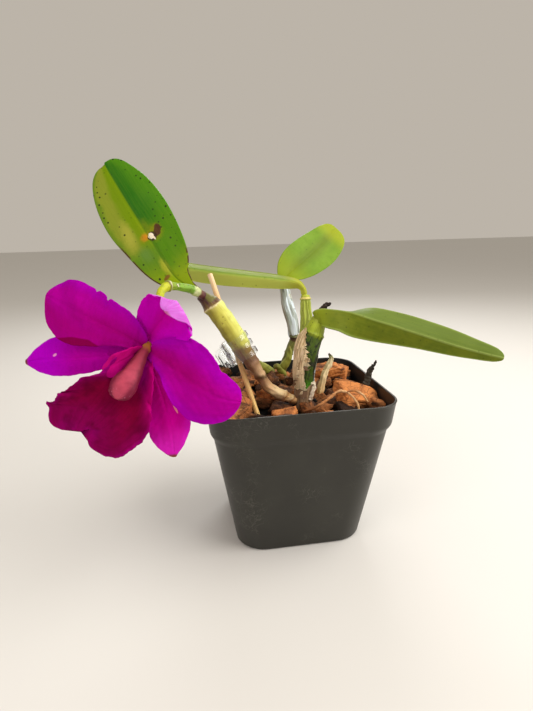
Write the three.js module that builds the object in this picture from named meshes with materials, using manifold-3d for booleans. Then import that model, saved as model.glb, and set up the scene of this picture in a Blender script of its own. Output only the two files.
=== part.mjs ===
// A flowering cattleya orchid in its square nursery pot, with a bamboo stake and a small claw clip.
// Millimetres, +Z up. The origin is the centre of the pot's underside; -Y is the pot's front.
import * as THREE from 'three';
import { mergeVertices } from 'three/addons/utils/BufferGeometryUtils.js';
import Module from 'manifold-3d';

const wasm = await Module();
wasm.setup();

// ---------------------------------------------------------------- driving dimensions
const GAP = 0.3; // clearance between pieces that touch
const POT = {
  height: 85,
  rimHalf: 51,
  baseHalf: 36,
  collarTall: 13.5,
  collarHalf: 49.3,
  bodyTopHalf: 47.4,
  stepTall: 3.5,
  corner: 16.5,
  wall: 1.3,
  floor: 2,
  drainRadius: 4.5,
  drainOffset: 21,
  foot: 1,
  bevel: 0.4,
  round: 0.6,
};
// The bark's top: its level in the middle, how much higher it is at the back and a hollow at the
// stake's foot: [x, y, depth, radius]. The core below the chips is flat.
const BED = {
  core: 66,
  level: 77.6,
  rise: 2.4,
  ceiling: 97,
  chipsAcross: 6,
  reach: 41,
  seed: 16, hollow: [-19, -19, 10, 12],
};
// The chips sunk into it, as ranges: length, width as a share of it, thickness and how far the top stands
// over the bed. They stray by a share of their grid's pitch and lean by up to half of `lean`.
const SUNK = { long: [16, 25], slim: [0.55, 0.8], thick: [14, 18], over: [1, 4], stray: 0.8, lean: 0.9 };
// A chip is a block whose corners are knocked in; a lower power makes it squarer.
const CHIP = { knock: [0.86, 1.1], power: 0.55 };
const STAKE = { foot: [-19.7, -14.9, 66.5], top: [-42.6, 10.9, 149], radius: 1.5, buried: 45 };
// For every leaf, petal and sepal: how round its midrib's fold is, how its sides run ahead and the
// least half width.
const BLADE = { fold: 0.2, sweepPower: 1.5, slimmest: 0.4 };
const LEAF = { thick: 1.7, edge: 0.9 };
const TEPAL = { thick: 1.1, edge: 0.75 };
const FLOWER = { at: [-77, -50, 124], facing: [-0.161, -0.953, 0.256] };
const CLIP = {
  pinAt: [-36.6, -7.6, 107.7],
  axis: [0.489, -0.131, -0.864],
  low: -5,
  high: 8,
  plate: 1,
  pinRadius: 0.7,
  bore: 1,
  knuckle: 1.7,
  tabTo: -1.5,
  tabRound: 3.4,
  clawsFrom: 9,
  far: 20,
};

// ---------------------------------------------------------------- small maths
const vec = (p) => new THREE.Vector3(p[0], p[1], p[2]);
const curve = (points) => new THREE.CatmullRomCurve3(points.map(vec), false, 'catmullrom', 0.5);
const scalars = (list) => curve(list.map((value) => [value, 0, 0]));

// A number that varies smoothly along its keys, for a place t from 0 to 1.
const along = (keys, t) => keys.getPoint(t).x;

// A seeded random number generator, from 0 to 1.
function dice(seed) {
  let state = seed;
  return () => {
    state = (state * 16807) % 2147483647;
    return state / 2147483647;
  };
}

const between = (roll, [low, high]) => low + (high - low) * roll();

// |t| with a soft bottom, so that a fold along a midrib is round.
const softFold = (t) => Math.hypot(t, BLADE.fold) - BLADE.fold;

// ---------------------------------------------------------------- closed solids
function solid(geometry) {
  const bare = new THREE.BufferGeometry();
  bare.setAttribute('position', geometry.getAttribute('position').clone());
  if (geometry.index) bare.setIndex(geometry.index.clone());
  const merged = mergeVertices(bare, 1e-4);
  return new wasm.Manifold(new wasm.Mesh({
    numProp: 3,
    vertProperties: new Float32Array(merged.getAttribute('position').array),
    triVerts: new Uint32Array(merged.index.array),
  }));
}

function geometryOf(body) {
  const mesh = body.getMesh();
  const geometry = new THREE.BufferGeometry();
  geometry.setAttribute('position', new THREE.BufferAttribute(mesh.vertProperties, 3));
  geometry.setIndex(new THREE.BufferAttribute(mesh.triVerts, 1));
  geometry.computeVertexNormals();
  return geometry;
}

// The biggest connected body of a solid: loose scraps left by a cut are dropped.
function mainBody(body) {
  return body.decompose().reduce((best, part) => (part.volume() > best.volume() ? part : best));
}

function fromFaces(points, faces) {
  let volume = 0;
  for (const [a, b, c] of faces) {
    volume += points[a].dot(new THREE.Vector3().crossVectors(points[b], points[c]));
  }
  const geometry = new THREE.BufferGeometry();
  geometry.setAttribute('position', new THREE.Float32BufferAttribute(points.flatMap((p) => p.toArray()), 3));
  geometry.setIndex((volume < 0 ? faces.map(([a, b, c]) => [a, c, b]) : faces).flat());
  return solid(geometry);
}

// A thin solid between two grids of points that are triangulated alike.
function slab(front, back) {
  const rows = front.length;
  const cols = front[0].length;
  const points = [...front.flat(), ...back.flat()];
  const other = rows * cols;
  const id = (i, j) => i * cols + j;
  const faces = [];
  const quad = (a, b, c, d) => faces.push([a, b, c], [a, c, d]);
  for (let i = 0; i < rows - 1; i += 1) {
    for (let j = 0; j < cols - 1; j += 1) {
      const [a, b, c, d] = [id(i, j), id(i + 1, j), id(i + 1, j + 1), id(i, j + 1)];
      faces.push([a, b, c], [a, c, d]);
      faces.push([a + other, c + other, b + other], [a + other, d + other, c + other]);
    }
  }
  for (let i = 0; i < rows - 1; i += 1) {
    quad(id(i, 0), id(i, 0) + other, id(i + 1, 0) + other, id(i + 1, 0));
    const last = cols - 1;
    quad(id(i + 1, last), id(i + 1, last) + other, id(i, last) + other, id(i, last));
  }
  for (let j = 0; j < cols - 1; j += 1) {
    quad(id(0, j + 1), id(0, j + 1) + other, id(0, j) + other, id(0, j));
    const last = rows - 1;
    quad(id(last, j), id(last, j) + other, id(last, j + 1) + other, id(last, j + 1));
  }
  return fromFaces(points, faces);
}

// Rings of points joined into a closed skin, with a point at each end.
function skin(rings, start, end) {
  const count = rings[0].length;
  const points = [...rings.flat(), start, end];
  const faces = [];
  for (let i = 0; i < rings.length - 1; i += 1) {
    for (let j = 0; j < count; j += 1) {
      const k = (j + 1) % count;
      faces.push([i * count + j, i * count + k, (i + 1) * count + k]);
      faces.push([i * count + j, (i + 1) * count + k, (i + 1) * count + j]);
    }
  }
  const last = (rings.length - 1) * count;
  for (let j = 0; j < count; j += 1) {
    const k = (j + 1) % count;
    faces.push([points.length - 2, k, j]);
    faces.push([points.length - 1, last + j, last + k]);
  }
  return fromFaces(points, faces);
}

// The frame of a path at t: place, tangent and two directions across it.
function across(path, t, reference) {
  const tangent = path.getTangent(t);
  const u = new THREE.Vector3().crossVectors(reference, tangent).normalize();
  const v = new THREE.Vector3().crossVectors(tangent, u);
  return { at: path.getPoint(t), tangent, u, v };
}

// A stem's rounded end: how far it reaches past the path as a share of the radius, and its last ring's
// place and its tip's as shares of that reach.
const END = { reach: 0.3, ring: 0.7, ringScale: 0.72, tip: 1.25 };

// A round or oval stem. radii holds one radius, or [across u, across v], for each point of the path.
// nodes are raised rings: [place along the path, rise, width].
function stem({ points, radii, sides = 10, steps = 4, nodes = [], reference = [0, 1, 0], cap = END.reach }, grow = 0) {
  const path = curve(points);
  const wide = scalars(radii.map((r) => (Array.isArray(r) ? r[0] : r)));
  const deep = scalars(radii.map((r) => (Array.isArray(r) ? r[1] : r)));
  const count = (points.length - 1) * steps;
  const rings = [];
  const ring = (t, scale, push) => {
    const { at, tangent, u, v } = across(path, t, vec(reference));
    const rise = nodes.reduce((sum, [place, high, width]) => (
      sum + high * Math.exp(-(((t - place) / width) ** 2))), 0);
    const a = (along(wide, t) + rise) * scale + grow;
    const b = (along(deep, t) + rise) * scale + grow;
    const middle = at.clone().addScaledVector(tangent, push);
    rings.push(Array.from({ length: sides }, (_, j) => {
      const angle = (2 * Math.PI * j) / sides;
      return middle.clone().addScaledVector(u, a * Math.cos(angle)).addScaledVector(v, b * Math.sin(angle));
    }));
  };
  const endPush = (t) => cap * along(wide, t) + grow;
  ring(0, END.ringScale, -endPush(0) * END.ring);
  for (let i = 0; i <= count; i += 1) ring(i / count, 1, 0);
  ring(1, END.ringScale, endPush(1) * END.ring);
  const tip = (t, sign) => path.getPoint(t).addScaledVector(path.getTangent(t), sign * endPush(t) * END.tip);
  return skin(rings, tip(0, -1), tip(1, 1));
}

// A leaf, sepal or petal. The spine runs along its middle and `side` points across it, towards the
// `right` edge. Half widths, the dish (how far the edges rise towards the front) and the sweep
// (how far they run ahead) are keyed at even angles, so that the blade ends round.
function blade(shape, grow = 0) {
  const { spine, side, left, right, dish, sweep = [0, 0], thick, edge, rows = 14, cols = 6 } = shape;
  const { ruffle = 0, waves = 0, crimp = 0, phase = 0 } = shape;
  const path = curve(spine);
  const sideways = curve(side);
  const keys = [left, right, dish, sweep].map(scalars);
  const front = [];
  const back = [];
  for (let i = 0; i <= rows; i += 1) {
    const s = (1 - Math.cos((Math.PI * i) / rows)) / 2;
    const [leftHalf, rightHalf, lift, ahead] = keys.map((key) => along(key, i / rows));
    const tangent = path.getTangent(s);
    const crosswise = sideways.getPoint(s);
    crosswise.addScaledVector(tangent, -crosswise.dot(tangent)).normalize();
    const normal = new THREE.Vector3().crossVectors(crosswise, tangent);
    const end = (i === rows) - (i === 0);
    const at = path.getPoint(s).addScaledVector(tangent, end * grow);
    front.push([]);
    back.push([]);
    for (let j = 0; j <= cols; j += 1) {
      const t = (2 * j) / cols - 1;
      const ripple = Math.sin(waves * Math.PI * 2 * s + phase + (t > 0 ? 1.9 : 0));
      const half = Math.max(t < 0 ? leftHalf : rightHalf, BLADE.slimmest) * (1 + crimp * Math.cos(waves * 5 * s)) + grow;
      const rise = half * lift * softFold(t) + ruffle * ripple * t * t * t * t * Math.sin(Math.PI * s);
      const point = at.clone()
        .addScaledVector(crosswise, half * t)
        .addScaledVector(tangent, half * ahead * Math.abs(t) ** BLADE.sweepPower)
        .addScaledVector(normal, rise);
      const flesh = (edge + (thick - edge) * (1 - t * t)) / 2 + grow;
      front[i].push(point.clone().addScaledVector(normal, flesh));
      back[i].push(point.clone().addScaledVector(normal, -flesh));
    }
  }
  return slab(front, back);
}

// A papery husk round part of a stem: from and to are its edges, as angles keyed along the path.
function husk({ points, radii, off, wall, from, to, reference = [0, 1, 0], rows = 9, cols = 6 }, grow = 0) {
  const path = curve(points);
  const radius = scalars(radii);
  const [first, last] = [from, to].map(scalars);
  const rim = (inside) => Array.from({ length: rows + 1 }, (_, i) => {
    const t = i / rows;
    const { at, tangent, u, v } = across(path, t, vec(reference));
    const slip = ((i === rows) - (i === 0)) * grow;
    const r = along(radius, t) + off + (inside ? -grow : wall + grow);
    const turn = grow / r;
    return Array.from({ length: cols + 1 }, (_unused, j) => {
      const spread = j / cols;
      const angle = (along(first, t) - turn) * (1 - spread) + (along(last, t) + turn) * spread;
      return at.clone()
        .addScaledVector(tangent, slip)
        .addScaledVector(u, r * Math.cos(angle))
        .addScaledVector(v, r * Math.sin(angle));
    });
  });
  return slab(rim(false), rim(true));
}

// A rounded square of points at one height.
function squareRing(half, corner, z, perCorner = 4) {
  const ring = [];
  for (let quarter = 0; quarter < 4; quarter += 1) {
    const start = (quarter * Math.PI) / 2;
    const cx = (half - corner) * Math.sign(Math.cos(start + Math.PI / 4));
    const cy = (half - corner) * Math.sign(Math.sin(start + Math.PI / 4));
    for (let i = 0; i <= perCorner; i += 1) {
      const angle = start + (i / perCorner) * (Math.PI / 2);
      ring.push(new THREE.Vector3(cx + corner * Math.cos(angle), cy + corner * Math.sin(angle), z));
    }
  }
  return ring;
}

// ---------------------------------------------------------------- the pot and what fills it
const potTop = POT.height;
const collarLow = potTop - POT.collarTall;
const bodyTop = collarLow - POT.stepTall;
const potCentre = (z) => new THREE.Vector3(0, 0, z);

function makePot() {
  const outside = skin([
    squareRing(POT.baseHalf - POT.foot, POT.corner - POT.foot, 0),
    squareRing(POT.baseHalf, POT.corner, POT.foot),
    squareRing(POT.bodyTopHalf, POT.corner, bodyTop),
    squareRing(POT.collarHalf - POT.bevel, POT.corner, collarLow - POT.round),
    squareRing(POT.collarHalf, POT.corner, collarLow + POT.round),
    squareRing(POT.rimHalf - POT.bevel, POT.corner, potTop - 2 * POT.round),
    squareRing(POT.rimHalf, POT.corner, potTop - POT.round),
    squareRing(POT.rimHalf - POT.bevel, POT.corner, potTop),
  ], potCentre(0), potCentre(potTop));
  const drain = new THREE.CylinderGeometry(POT.drainRadius, POT.drainRadius, 3 * POT.floor, 12);
  drain.rotateX(Math.PI / 2);
  let pot = outside.subtract(potInside(0, potTop + 1));
  for (const [x, y] of [[-1, -1], [1, -1], [1, 1], [-1, 1]]) {
    const hole = drain.clone().translate(x * POT.drainOffset, y * POT.drainOffset, 0);
    pot = pot.subtract(solid(hole));
  }
  return pot;
}

// The space inside the walls, drawn in by `inset`, up to the height `top`.
function potInside(inset, top) {
  const w = POT.wall + inset;
  const slope = (POT.rimHalf - POT.collarHalf) / POT.collarTall;
  const aboveHalf = POT.rimHalf - w + slope * (top - potTop);
  return skin([
    squareRing(POT.baseHalf - w, POT.corner - w, POT.floor + inset),
    squareRing(POT.bodyTopHalf - w, POT.corner - w, bodyTop),
    squareRing(POT.collarHalf - w, POT.corner - w, collarLow + POT.bevel),
    squareRing(aboveHalf, POT.corner - w, top),
  ], potCentre(POT.floor + inset), potCentre(top));
}

// An angular piece of fir bark: a block with knocked corners, [length, width, thickness].
function barkChip({ at, size, turn, tilt, seed }, grow = 0) {
  const roll = dice(seed);
  const block = new THREE.IcosahedronGeometry(1, 0);
  const merged = mergeVertices(new THREE.BufferGeometry().setAttribute('position', block.attributes.position));
  const position = merged.getAttribute('position');
  const half = size.map((value) => value / 2 + grow);
  const squarer = (value) => Math.sign(value) * Math.abs(value) ** CHIP.power;
  for (let i = 0; i < position.count; i += 1) {
    const knock = between(roll, CHIP.knock);
    position.setXYZ(
      i,
      squarer(position.getX(i)) * half[0] * knock,
      squarer(position.getY(i)) * half[1] * knock,
      squarer(position.getZ(i)) * half[2] * knock,
    );
  }
  merged.rotateX(tilt[0]);
  merged.rotateY(tilt[1]);
  merged.rotateZ(turn);
  merged.translate(...at);
  return solid(merged);
}

// The packed bark: a core with chips sunk into its top, placed on a loose grid.
function barkBed() {
  const roll = dice(BED.seed);
  const [hollowX, hollowY, deep, wide] = BED.hollow;
  const topOf = (x, y) => (
    BED.level + BED.rise * (y / BED.reach)
    - deep * Math.exp(-((x - hollowX) ** 2 + (y - hollowY) ** 2) / wide ** 2));
  let bed = potInside(GAP, BED.core);
  const perRow = BED.chipsAcross;
  const pitch = (2 * BED.reach) / (perRow - 1);
  const strayed = () => (roll() - 0.5) * pitch * SUNK.stray;
  const leaning = () => (roll() - 0.5) * SUNK.lean;
  for (let i = 0; i < perRow * perRow; i += 1) {
    const x = -BED.reach + pitch * (i % perRow) + strayed();
    const y = -BED.reach + pitch * Math.floor(i / perRow) + strayed();
    const long = between(roll, SUNK.long);
    const thick = between(roll, SUNK.thick);
    const chip = {
      at: [x, y, topOf(x, y) - thick / 2 + between(roll, SUNK.over)],
      size: [long, long * between(roll, SUNK.slim), thick],
      turn: roll() * Math.PI,
      tilt: [leaning(), leaning()],
      seed: 100 + Math.floor(roll() * 1e6),
    };
    bed = bed.add(barkChip(chip));
  }
  return bed.intersect(potInside(GAP, BED.ceiling));
}

const chips = {
  bark_chip_right: { at: [36, -16, 79.5], size: [24, 17, 10], turn: 0.3, tilt: [0.55, 0.15], seed: 5 },
  bark_chip_front: { at: [-8.6, -27, 74], size: [15, 10, 7], turn: -0.35, tilt: [0.3, -0.15], seed: 21 },
  bark_chip_left: { at: [-33, -20, 77.5], size: [19, 11, 8], turn: 0.9, tilt: [0.25, -0.2], seed: 9 },
  bark_chip_back: { at: [33, 25, 82], size: [20, 13, 9], turn: -0.5, tilt: [0.4, -0.1], seed: 33 },
};

// ---------------------------------------------------------------- stems, roots and husks
const caneB = {
  points: [[5.2, -12.8, 73.7], [5.5, -11.5, 80.5], [6.7, -10.6, 86.7], [7.3, -9.2, 96.3],
    [9.3, -7.8, 107.5], [12.9, -7, 115.9], [16, -7.1, 123.2]],
  radii: [3.2, 3.5, 4.4, 5, 6.2, 5.9, 4.2],
};
const caneD = {
  points: [[2.8, 38.4, 79.1], [6.2, 38.2, 88.5], [9.6, 38, 97.8], [11.6, 37.7, 103.8],
    [10.5, 38.3, 114.9], [7.6, 39.6, 125.9], [6.2, 40.3, 135.5]],
  radii: [2.8, 2.5, 2.3, 2.5, 2.5, 2.3, 2],
};
const stems = {
  rhizome: {
    points: [[2.6, 40, 76.5], [6, 24, 75.5], [8.5, 6, 75.5], [6, -8, 75], [5, -17, 73.5]],
    radii: [3.2, 3.3, 3.4, 3.5, 3],
    nodes: [[0.12, 0.5, 0.02], [0.38, 0.5, 0.02], [0.6, 0.5, 0.02], [0.86, 0.5, 0.02]],
    sides: 8,
    steps: 3,
    reference: [0, 0, 1],
  },
  cane_b: { ...caneB, nodes: [[0.17, 0.5, 0.015], [0.83, 0.4, 0.02]], sides: 12, steps: 3 },
  cane_c: {
    points: [[9.6, 3.4, 80], [11.2, 6.7, 91.6], [12.6, 9.6, 105], [13.8, 12, 116.7], [13.6, 14.2, 126.6],
      [13.6, 15.4, 133.6]],
    radii: [2.6, 3.6, 4.3, 3.8, 2.9, 2.6],
    nodes: [[0.95, 0.4, 0.02], [0.45, 0.3, 0.02]],
    sides: 9,
    steps: 3,
  },
  cane_d: { ...caneD, nodes: [[0.5, 0.7, 0.015], [0.25, 0.5, 0.015]], sides: 10, steps: 3 },
  cane_a: {
    points: [[1.2, -12.8, 78.4], [-3.3, -10.9, 80.4], [-8.5, -9.8, 82.5], [-14.2, -9.4, 86.7],
      [-18.4, -9.3, 93.5], [-22.4, -9.2, 100.8], [-27.6, -8.3, 108.9], [-31.4, -7.2, 115.7],
      [-36.2, -5.9, 124.1], [-40.2, -4.9, 130.2], [-43.5, -4.1, 134.1], [-46.3, -3.6, 137], [-48.6, -3.4, 139.4]],
    radii: [2.5, 2.6, 3.2, 3.1, 2.9, 3.7, 4.9, 5.5, 5.6, 5.5, 5.3, 3.7, 3.1],
    nodes: [[0.04, 0.4, 0.01], [0.11, 0.7, 0.012], [0.34, 0.5, 0.012], [0.42, 0.5, 0.012]],
    sides: 11,
    steps: 2,
  },
  old_stub: {
    points: [[17.2, -2.6, 74], [20.7, 0.6, 86.5], [24.2, 3.1, 92.3], [27, 5.4, 96.7], [26, 6.6, 99.6]],
    radii: [2.2, 1.8, 1.6, 1.3, 0.6],
    sides: 8,
    steps: 2,
  },
  dried_spathe: {
    points: [[17.6, -5.2, 123.8], [18.8, -3, 127.8], [21.2, -2.4, 130.4], [24.2, -2.6, 131.5]],
    radii: [1.1, 1.4, 1.3, 0.5],
    sides: 6,
    steps: 2,
  },
};
const shootStems = [
  {
    points: [[-13.1, 33.3, 89.5], [-10.7, 32.3, 87.2], [-7.6, 32.2, 84.7], [-4, 32.1, 82.8]],
    radii: [1.8, 2.7, 3.1, 2.6],
    sides: 8,
    steps: 2,
  },
  {
    points: [[3.7, 33.1, 79.6], [1.8, 33.3, 83.1], [0.5, 33.1, 85.2], [-2.2, 31.8, 86.7]],
    radii: [2.2, 2.5, 2.2, 1.7],
    sides: 8,
    steps: 2,
  },
  {
    points: [[1.3, 33.9, 82.9], [4.2, 33.4, 86.9], [6.8, 33, 90.9], [7.5, 33, 95.2], [7.4, 33.1, 99.4]],
    radii: [2.3, 2.6, 2.1, 1.4, 0.6],
    sides: 8,
    steps: 2,
  },
];
const surfaceRoots = [
  {
    points: [[4, -22, 75], [9, -28.5, 79.8], [14, -27.4, 82.2], [18.5, -25.4, 84.2], [23.2, -24.1, 86.2],
      [27, -25.5, 85.6], [29.4, -28.2, 83.6], [31.2, -31.2, 80.6], [31.4, -33.4, 77.4]],
    radii: [0.8, 0.8, 0.8, 0.8, 0.8, 0.7, 0.6, 0.6, 0.5],
    sides: 6,
    steps: 2,
  },
  {
    points: [[27, -25.5, 85.6], [31, -26.6, 86.6], [35, -28.6, 84.6], [37.4, -30.2, 81]],
    radii: [0.7, 0.6, 0.6, 0.5],
    sides: 6,
    steps: 2,
  },
];
const deadRoots = [
  {
    points: [[44, -7, 76], [45.4, -5, 82], [48, -3.4, 87.4], [50.8, -2, 92], [53, -1, 95.5]],
    radii: [3, 2.4, 1.1, 0.8, 0.5],
    sides: 6,
    steps: 2,
  },
  {
    points: [[44.5, -5.5, 79], [46.4, -3, 86.6], [48.2, -2.4, 90.8], [50.4, -2.4, 93.4]],
    radii: [1.8, 1, 0.8, 0.5],
    sides: 6,
    steps: 2,
  },
];
const flowerStalk = {
  points: [[21.4, 27.6, -42.6], [15.5, 30.4, -36.4], [9.4, 31, -30.4], [5.4, 30.6, -25.6], [3.4, 28, -21.4],
    [2.6, 22.8, -17.4], [1.8, 14, -12.6], [0.9, 5.4, -8], [0.4, 1, -4.6]],
  radii: [2.3, 2.2, 2.1, 2.3, 2.1, 1.9, 2, 2.4, 2.6],
  nodes: [[0.02, 0.5, 0.02], [0.36, 0.4, 0.02]],
  sides: 10,
  steps: 3,
  reference: [0, 1, 0.2],
};
const husks = {
  husk_b: {
    points: caneB.points.slice(1, 6),
    radii: caneB.radii.slice(1, 6),
    off: 0.75,
    wall: 0.7,
    from: [1.7, 1.75, 1.8, 2.0, 2.6, 3.4],
    to: [4.9, 4.65, 4.5, 4.4, 4.2, 3.8],
    cols: 7,
  },
  husk_b_shard: {
    points: caneB.points.slice(2, 5),
    radii: caneB.radii.slice(2, 5),
    off: 0.6,
    wall: 0.6,
    from: [6, 6.1, 6.4],
    to: [6.6, 6.5, 6.6],
    rows: 6,
    cols: 2,
  },
  husk_d: {
    points: [[11.4, 37.8, 106], ...caneD.points.slice(4)],
    radii: caneD.radii.slice(3),
    off: 0.65,
    wall: 0.6,
    from: [1.9, 1.8, 1.9, 2.3],
    to: [7.6, 7.9, 7.8, 6.9],
    cols: 9,
    rows: 7,
  },
};

// ---------------------------------------------------------------- leaves
const leaves = {
  leaf_a: {
    spine: [[-49.2, -2.8, 140.8], [-56.5, -0.4, 145], [-63.5, 3.9, 151.4], [-74.5, 14, 170.4],
      [-83.5, 23.8, 185.5], [-97.1, 38.9, 209.8]],
    side: [[0.7, 0.1, 0.7], [0.7, 0.1, 0.7], [0.8, 0, 0.55], [0.86, -0.04, 0.5], [0.86, -0.04, 0.5],
      [0.86, -0.04, 0.5]],
    left: [1.8, 2.2, 2.8, 5.6, 13.4, 17.2, 16.6, 11, 1.6],
    right: [1.6, 2, 3.2, 8, 15.2, 18, 16.8, 10.6, 1.6],
    dish: [0.5, 0.4, 0.3, 0.2, 0.15, 0.12, 0.1, 0.1, 0.1],
  },
  leaf_b: {
    spine: [[12.4, -6.8, 127.6], [16.6, -7.4, 128.6], [22.6, -9.2, 128.2], [30.4, -11.6, 127], [43.3, -17.3, 123.6],
      [62.2, -25.3, 117.7], [81.7, -33.4, 111.4], [94.7, -38.7, 107.7], [107.2, -44.2, 104.7]],
    side: [[0, 0.93, 0.34], [0.1, 0.93, 0.34], [0.15, 0.93, 0.34], [0.15, 0.9, 0.4], [0.15, 0.57, 0.82],
      [0.2, 0.3, 0.93], [0.25, 0.1, 0.96], [0.25, 0.05, 0.96], [0.25, 0.05, 0.96]],
    left: [3.6, 5.8, 8.4, 9.8, 9.8, 6.6, 4.4, 2.8, 0.6],
    right: [2.4, 3.4, 6.6, 9.6, 10.2, 8.4, 6, 3.8, 0.6],
    dish: [0.9, 0.8, 0.7, 0.7, 0.7, 0.6, 0.5, 0.4, 0.3],
  },
  leaf_c: {
    spine: [[13.6, 15.4, 134.4], [12.3, 16.4, 138.4], [8.4, 17.8, 141.4], [-1.9, 19.5, 143.3], [-18.2, 22.3, 145.5],
      [-35.7, 24.7, 147.8], [-53, 26.2, 150.8], [-65.6, 26.8, 153.1], [-74.7, 27.5, 154]],
    side: [[0.9, 0.3, 0.3], [0.6, 0.3, 0.7], [0.2, 0.35, 0.93], [0, 0.37, 0.93], [0, 0.37, 0.93], [0, 0.37, 0.93],
      [0, 0.37, 0.93], [0, 0.37, 0.93], [0, 0.37, 0.93]],
    left: [1.7, 1.5, 1.5, 3.4, 4.9, 5.2, 4.4, 2.6, 0.5],
    right: [1.7, 1.7, 1.9, 3.4, 4.6, 4.9, 4.3, 2.6, 0.5],
    dish: [-0.8, -0.9, -1.1, -1.2, -1.2, -1.2, -1.1, -1, -0.8],
  },
  leaf_d: {
    spine: [[6.2, 40.6, 136.2], [8.5, 42.9, 142.7], [14.7, 47.3, 147.2], [25.2, 54.6, 153.6],
      [36.7, 64.1, 160.9], [50, 74.8, 171]],
    side: [[0.9, -0.2, -0.3], [0.8, -0.3, -0.5], [0.6, -0.3, -0.7], [0.6, -0.3, -0.7], [0.6, -0.3, -0.7],
      [0.6, -0.3, -0.7]],
    left: [2, 2.8, 5.2, 10.4, 12.8, 12.2, 10, 6.4, 1.4],
    right: [1.8, 3, 5.2, 8, 11.8, 14, 13.4, 9.8, 2.6],
    dish: [0.6, 0.5, 0.35, 0.25, 0.2, 0.15, 0.1, 0.1, 0.1],
  },
};

// ---------------------------------------------------------------- the flower, in its own frame
// X is the flower's right as it is faced, Y is up and Z is towards the front; the origin is its throat.
// A blade's sides are given as angles in degrees, turned from X towards Y.
function directionAt(angle) {
  const turned = THREE.MathUtils.degToRad(angle);
  return [Math.cos(turned), Math.sin(turned), 0];
}
const tepals = {
  petal_left: {
    spine: [[-1.2, 0.2, -0.4], [-6.6, 3.9, 3], [-13.9, 8, 5.5], [-23.3, 13, 6.5], [-34.4, 19.2, 5], [-44.5, 24.4, 1]],
    side: [60, 62, 64, 64, 62, 60].map(directionAt),
    left: [2.6, 3, 3.8, 6, 10.8, 14.7, 13, 7.4, 1.2],
    right: [2.4, 4, 6.6, 10, 11.4, 12.2, 11.4, 6.6, 1.2],
    dish: [0.3, 0.25, 0.2, 0.1, 0, -0.1, -0.15, -0.2, -0.2],
    ruffle: 0.8,
    waves: 2,
    crimp: 0.01,
  },
  petal_right: {
    spine: [[1.4, -1.4, -0.4], [7.6, -6.3, 3], [15.1, -11.8, 5.5], [24.5, -18.2, 6.5], [34, -23.8, 5], [42.8, -26.2, 2]],
    side: [235, 235, 236, 238, 240, 250].map(directionAt),
    left: [3, 5.6, 10, 15.2, 15.4, 10.8, 9, 6, 0.8],
    right: [2.4, 3, 4, 6.6, 12.6, 15, 11, 5.6, 0.8],
    dish: [0.3, 0.25, 0.2, 0.1, 0, -0.1, -0.15, -0.2, -0.2],
    ruffle: 0.8,
    waves: 2,
    phase: 1,
    crimp: 0.01,
  },
  sepal_left: {
    spine: [[-3.6, -1.5, -3], [-12.6, -3.1, -2], [-23.5, -4.3, 0], [-34.5, -4.5, 1], [-46.3, -4.9, 0],
      [-56.1, -5.7, -2]],
    side: [80, 85, 88, 88, 88, 88].map(directionAt),
    left: [2.9, 3.2, 3.9, 5.2, 7, 7.7, 5.6, 2.1, 0.4],
    right: [2.2, 3, 5, 7.5, 9.5, 10.2, 6, 1.6, 0.4],
    dish: [0.1, 0.1, 0, -0.1, -0.2, -0.2, -0.1, 0, 0],
  },
  sepal_right: {
    spine: [[0, -3.9, -3], [3.2, -13.1, -2], [7.1, -23.6, 0], [9.8, -32.7, 1], [11.3, -42, 0], [11.6, -50.8, -1]],
    side: [195, 192, 190, 185, 182, 180].map(directionAt),
    left: [2.5, 3.7, 5.9, 8.2, 9.6, 8.6, 4.9, 1.5, 0.4],
    right: [2.5, 2.6, 3.4, 5.8, 8.6, 10.8, 8.4, 3.6, 0.4],
    dish: [0.1, 0.1, 0, -0.1, -0.2, -0.2, -0.1, 0, 0],
  },
  sepal_dorsal: {
    spine: [[-0.6, 2.6, -2.4], [2, 5.7, -1.6], [6.2, 10.5, 0.4], [10.6, 15.2, 3.2], [14.4, 18.6, 7.6],
      [15.4, 18.4, 12.6], [11.4, 15, 17]],
    side: [-45, -46, -44, -38, -36, -42, -50].map(directionAt),
    left: [2.5, 4.2, 7.2, 10, 11, 9.6, 6.4, 3.2, 0.5],
    right: [2.5, 4, 8, 12.6, 15.2, 14, 9.4, 4.2, 0.5],
    dish: [0.2, 0.2, 0.25, 0.4, 0.5, 0.5, 0.45, 0.4, 0.3],
    rows: 16,
  },
};
const lipMiddle = {
  spine: [[-0.2, -1.6, -2], [-2.9, -7, 0.5], [-6.4, -14.1, 3.5], [-10.7, -22.2, 8], [-16.6, -29.7, 11],
    [-24, -35.7, 10]],
  side: [144, 146, 148, 147, 140, 135].map(directionAt),
  left: [2.3, 3, 6.6, 12, 17, 19, 14, 8.8, 4],
  right: [2.6, 4.6, 7.8, 11, 20, 21.8, 20.8, 16.4, 7.4],
  dish: [0.7, 0.75, 0.8, 0.6, 0.1, -0.12, -0.2, -0.2, -0.2],
  sweep: [0, 0.1, 0.35, 0.62, 0.55, 0.54, 0.66, 0.8, 1.05],
  ruffle: 2.2,
  waves: 4.5,
  crimp: 0.035,
  rows: 24,
  cols: 10,
};
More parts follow.
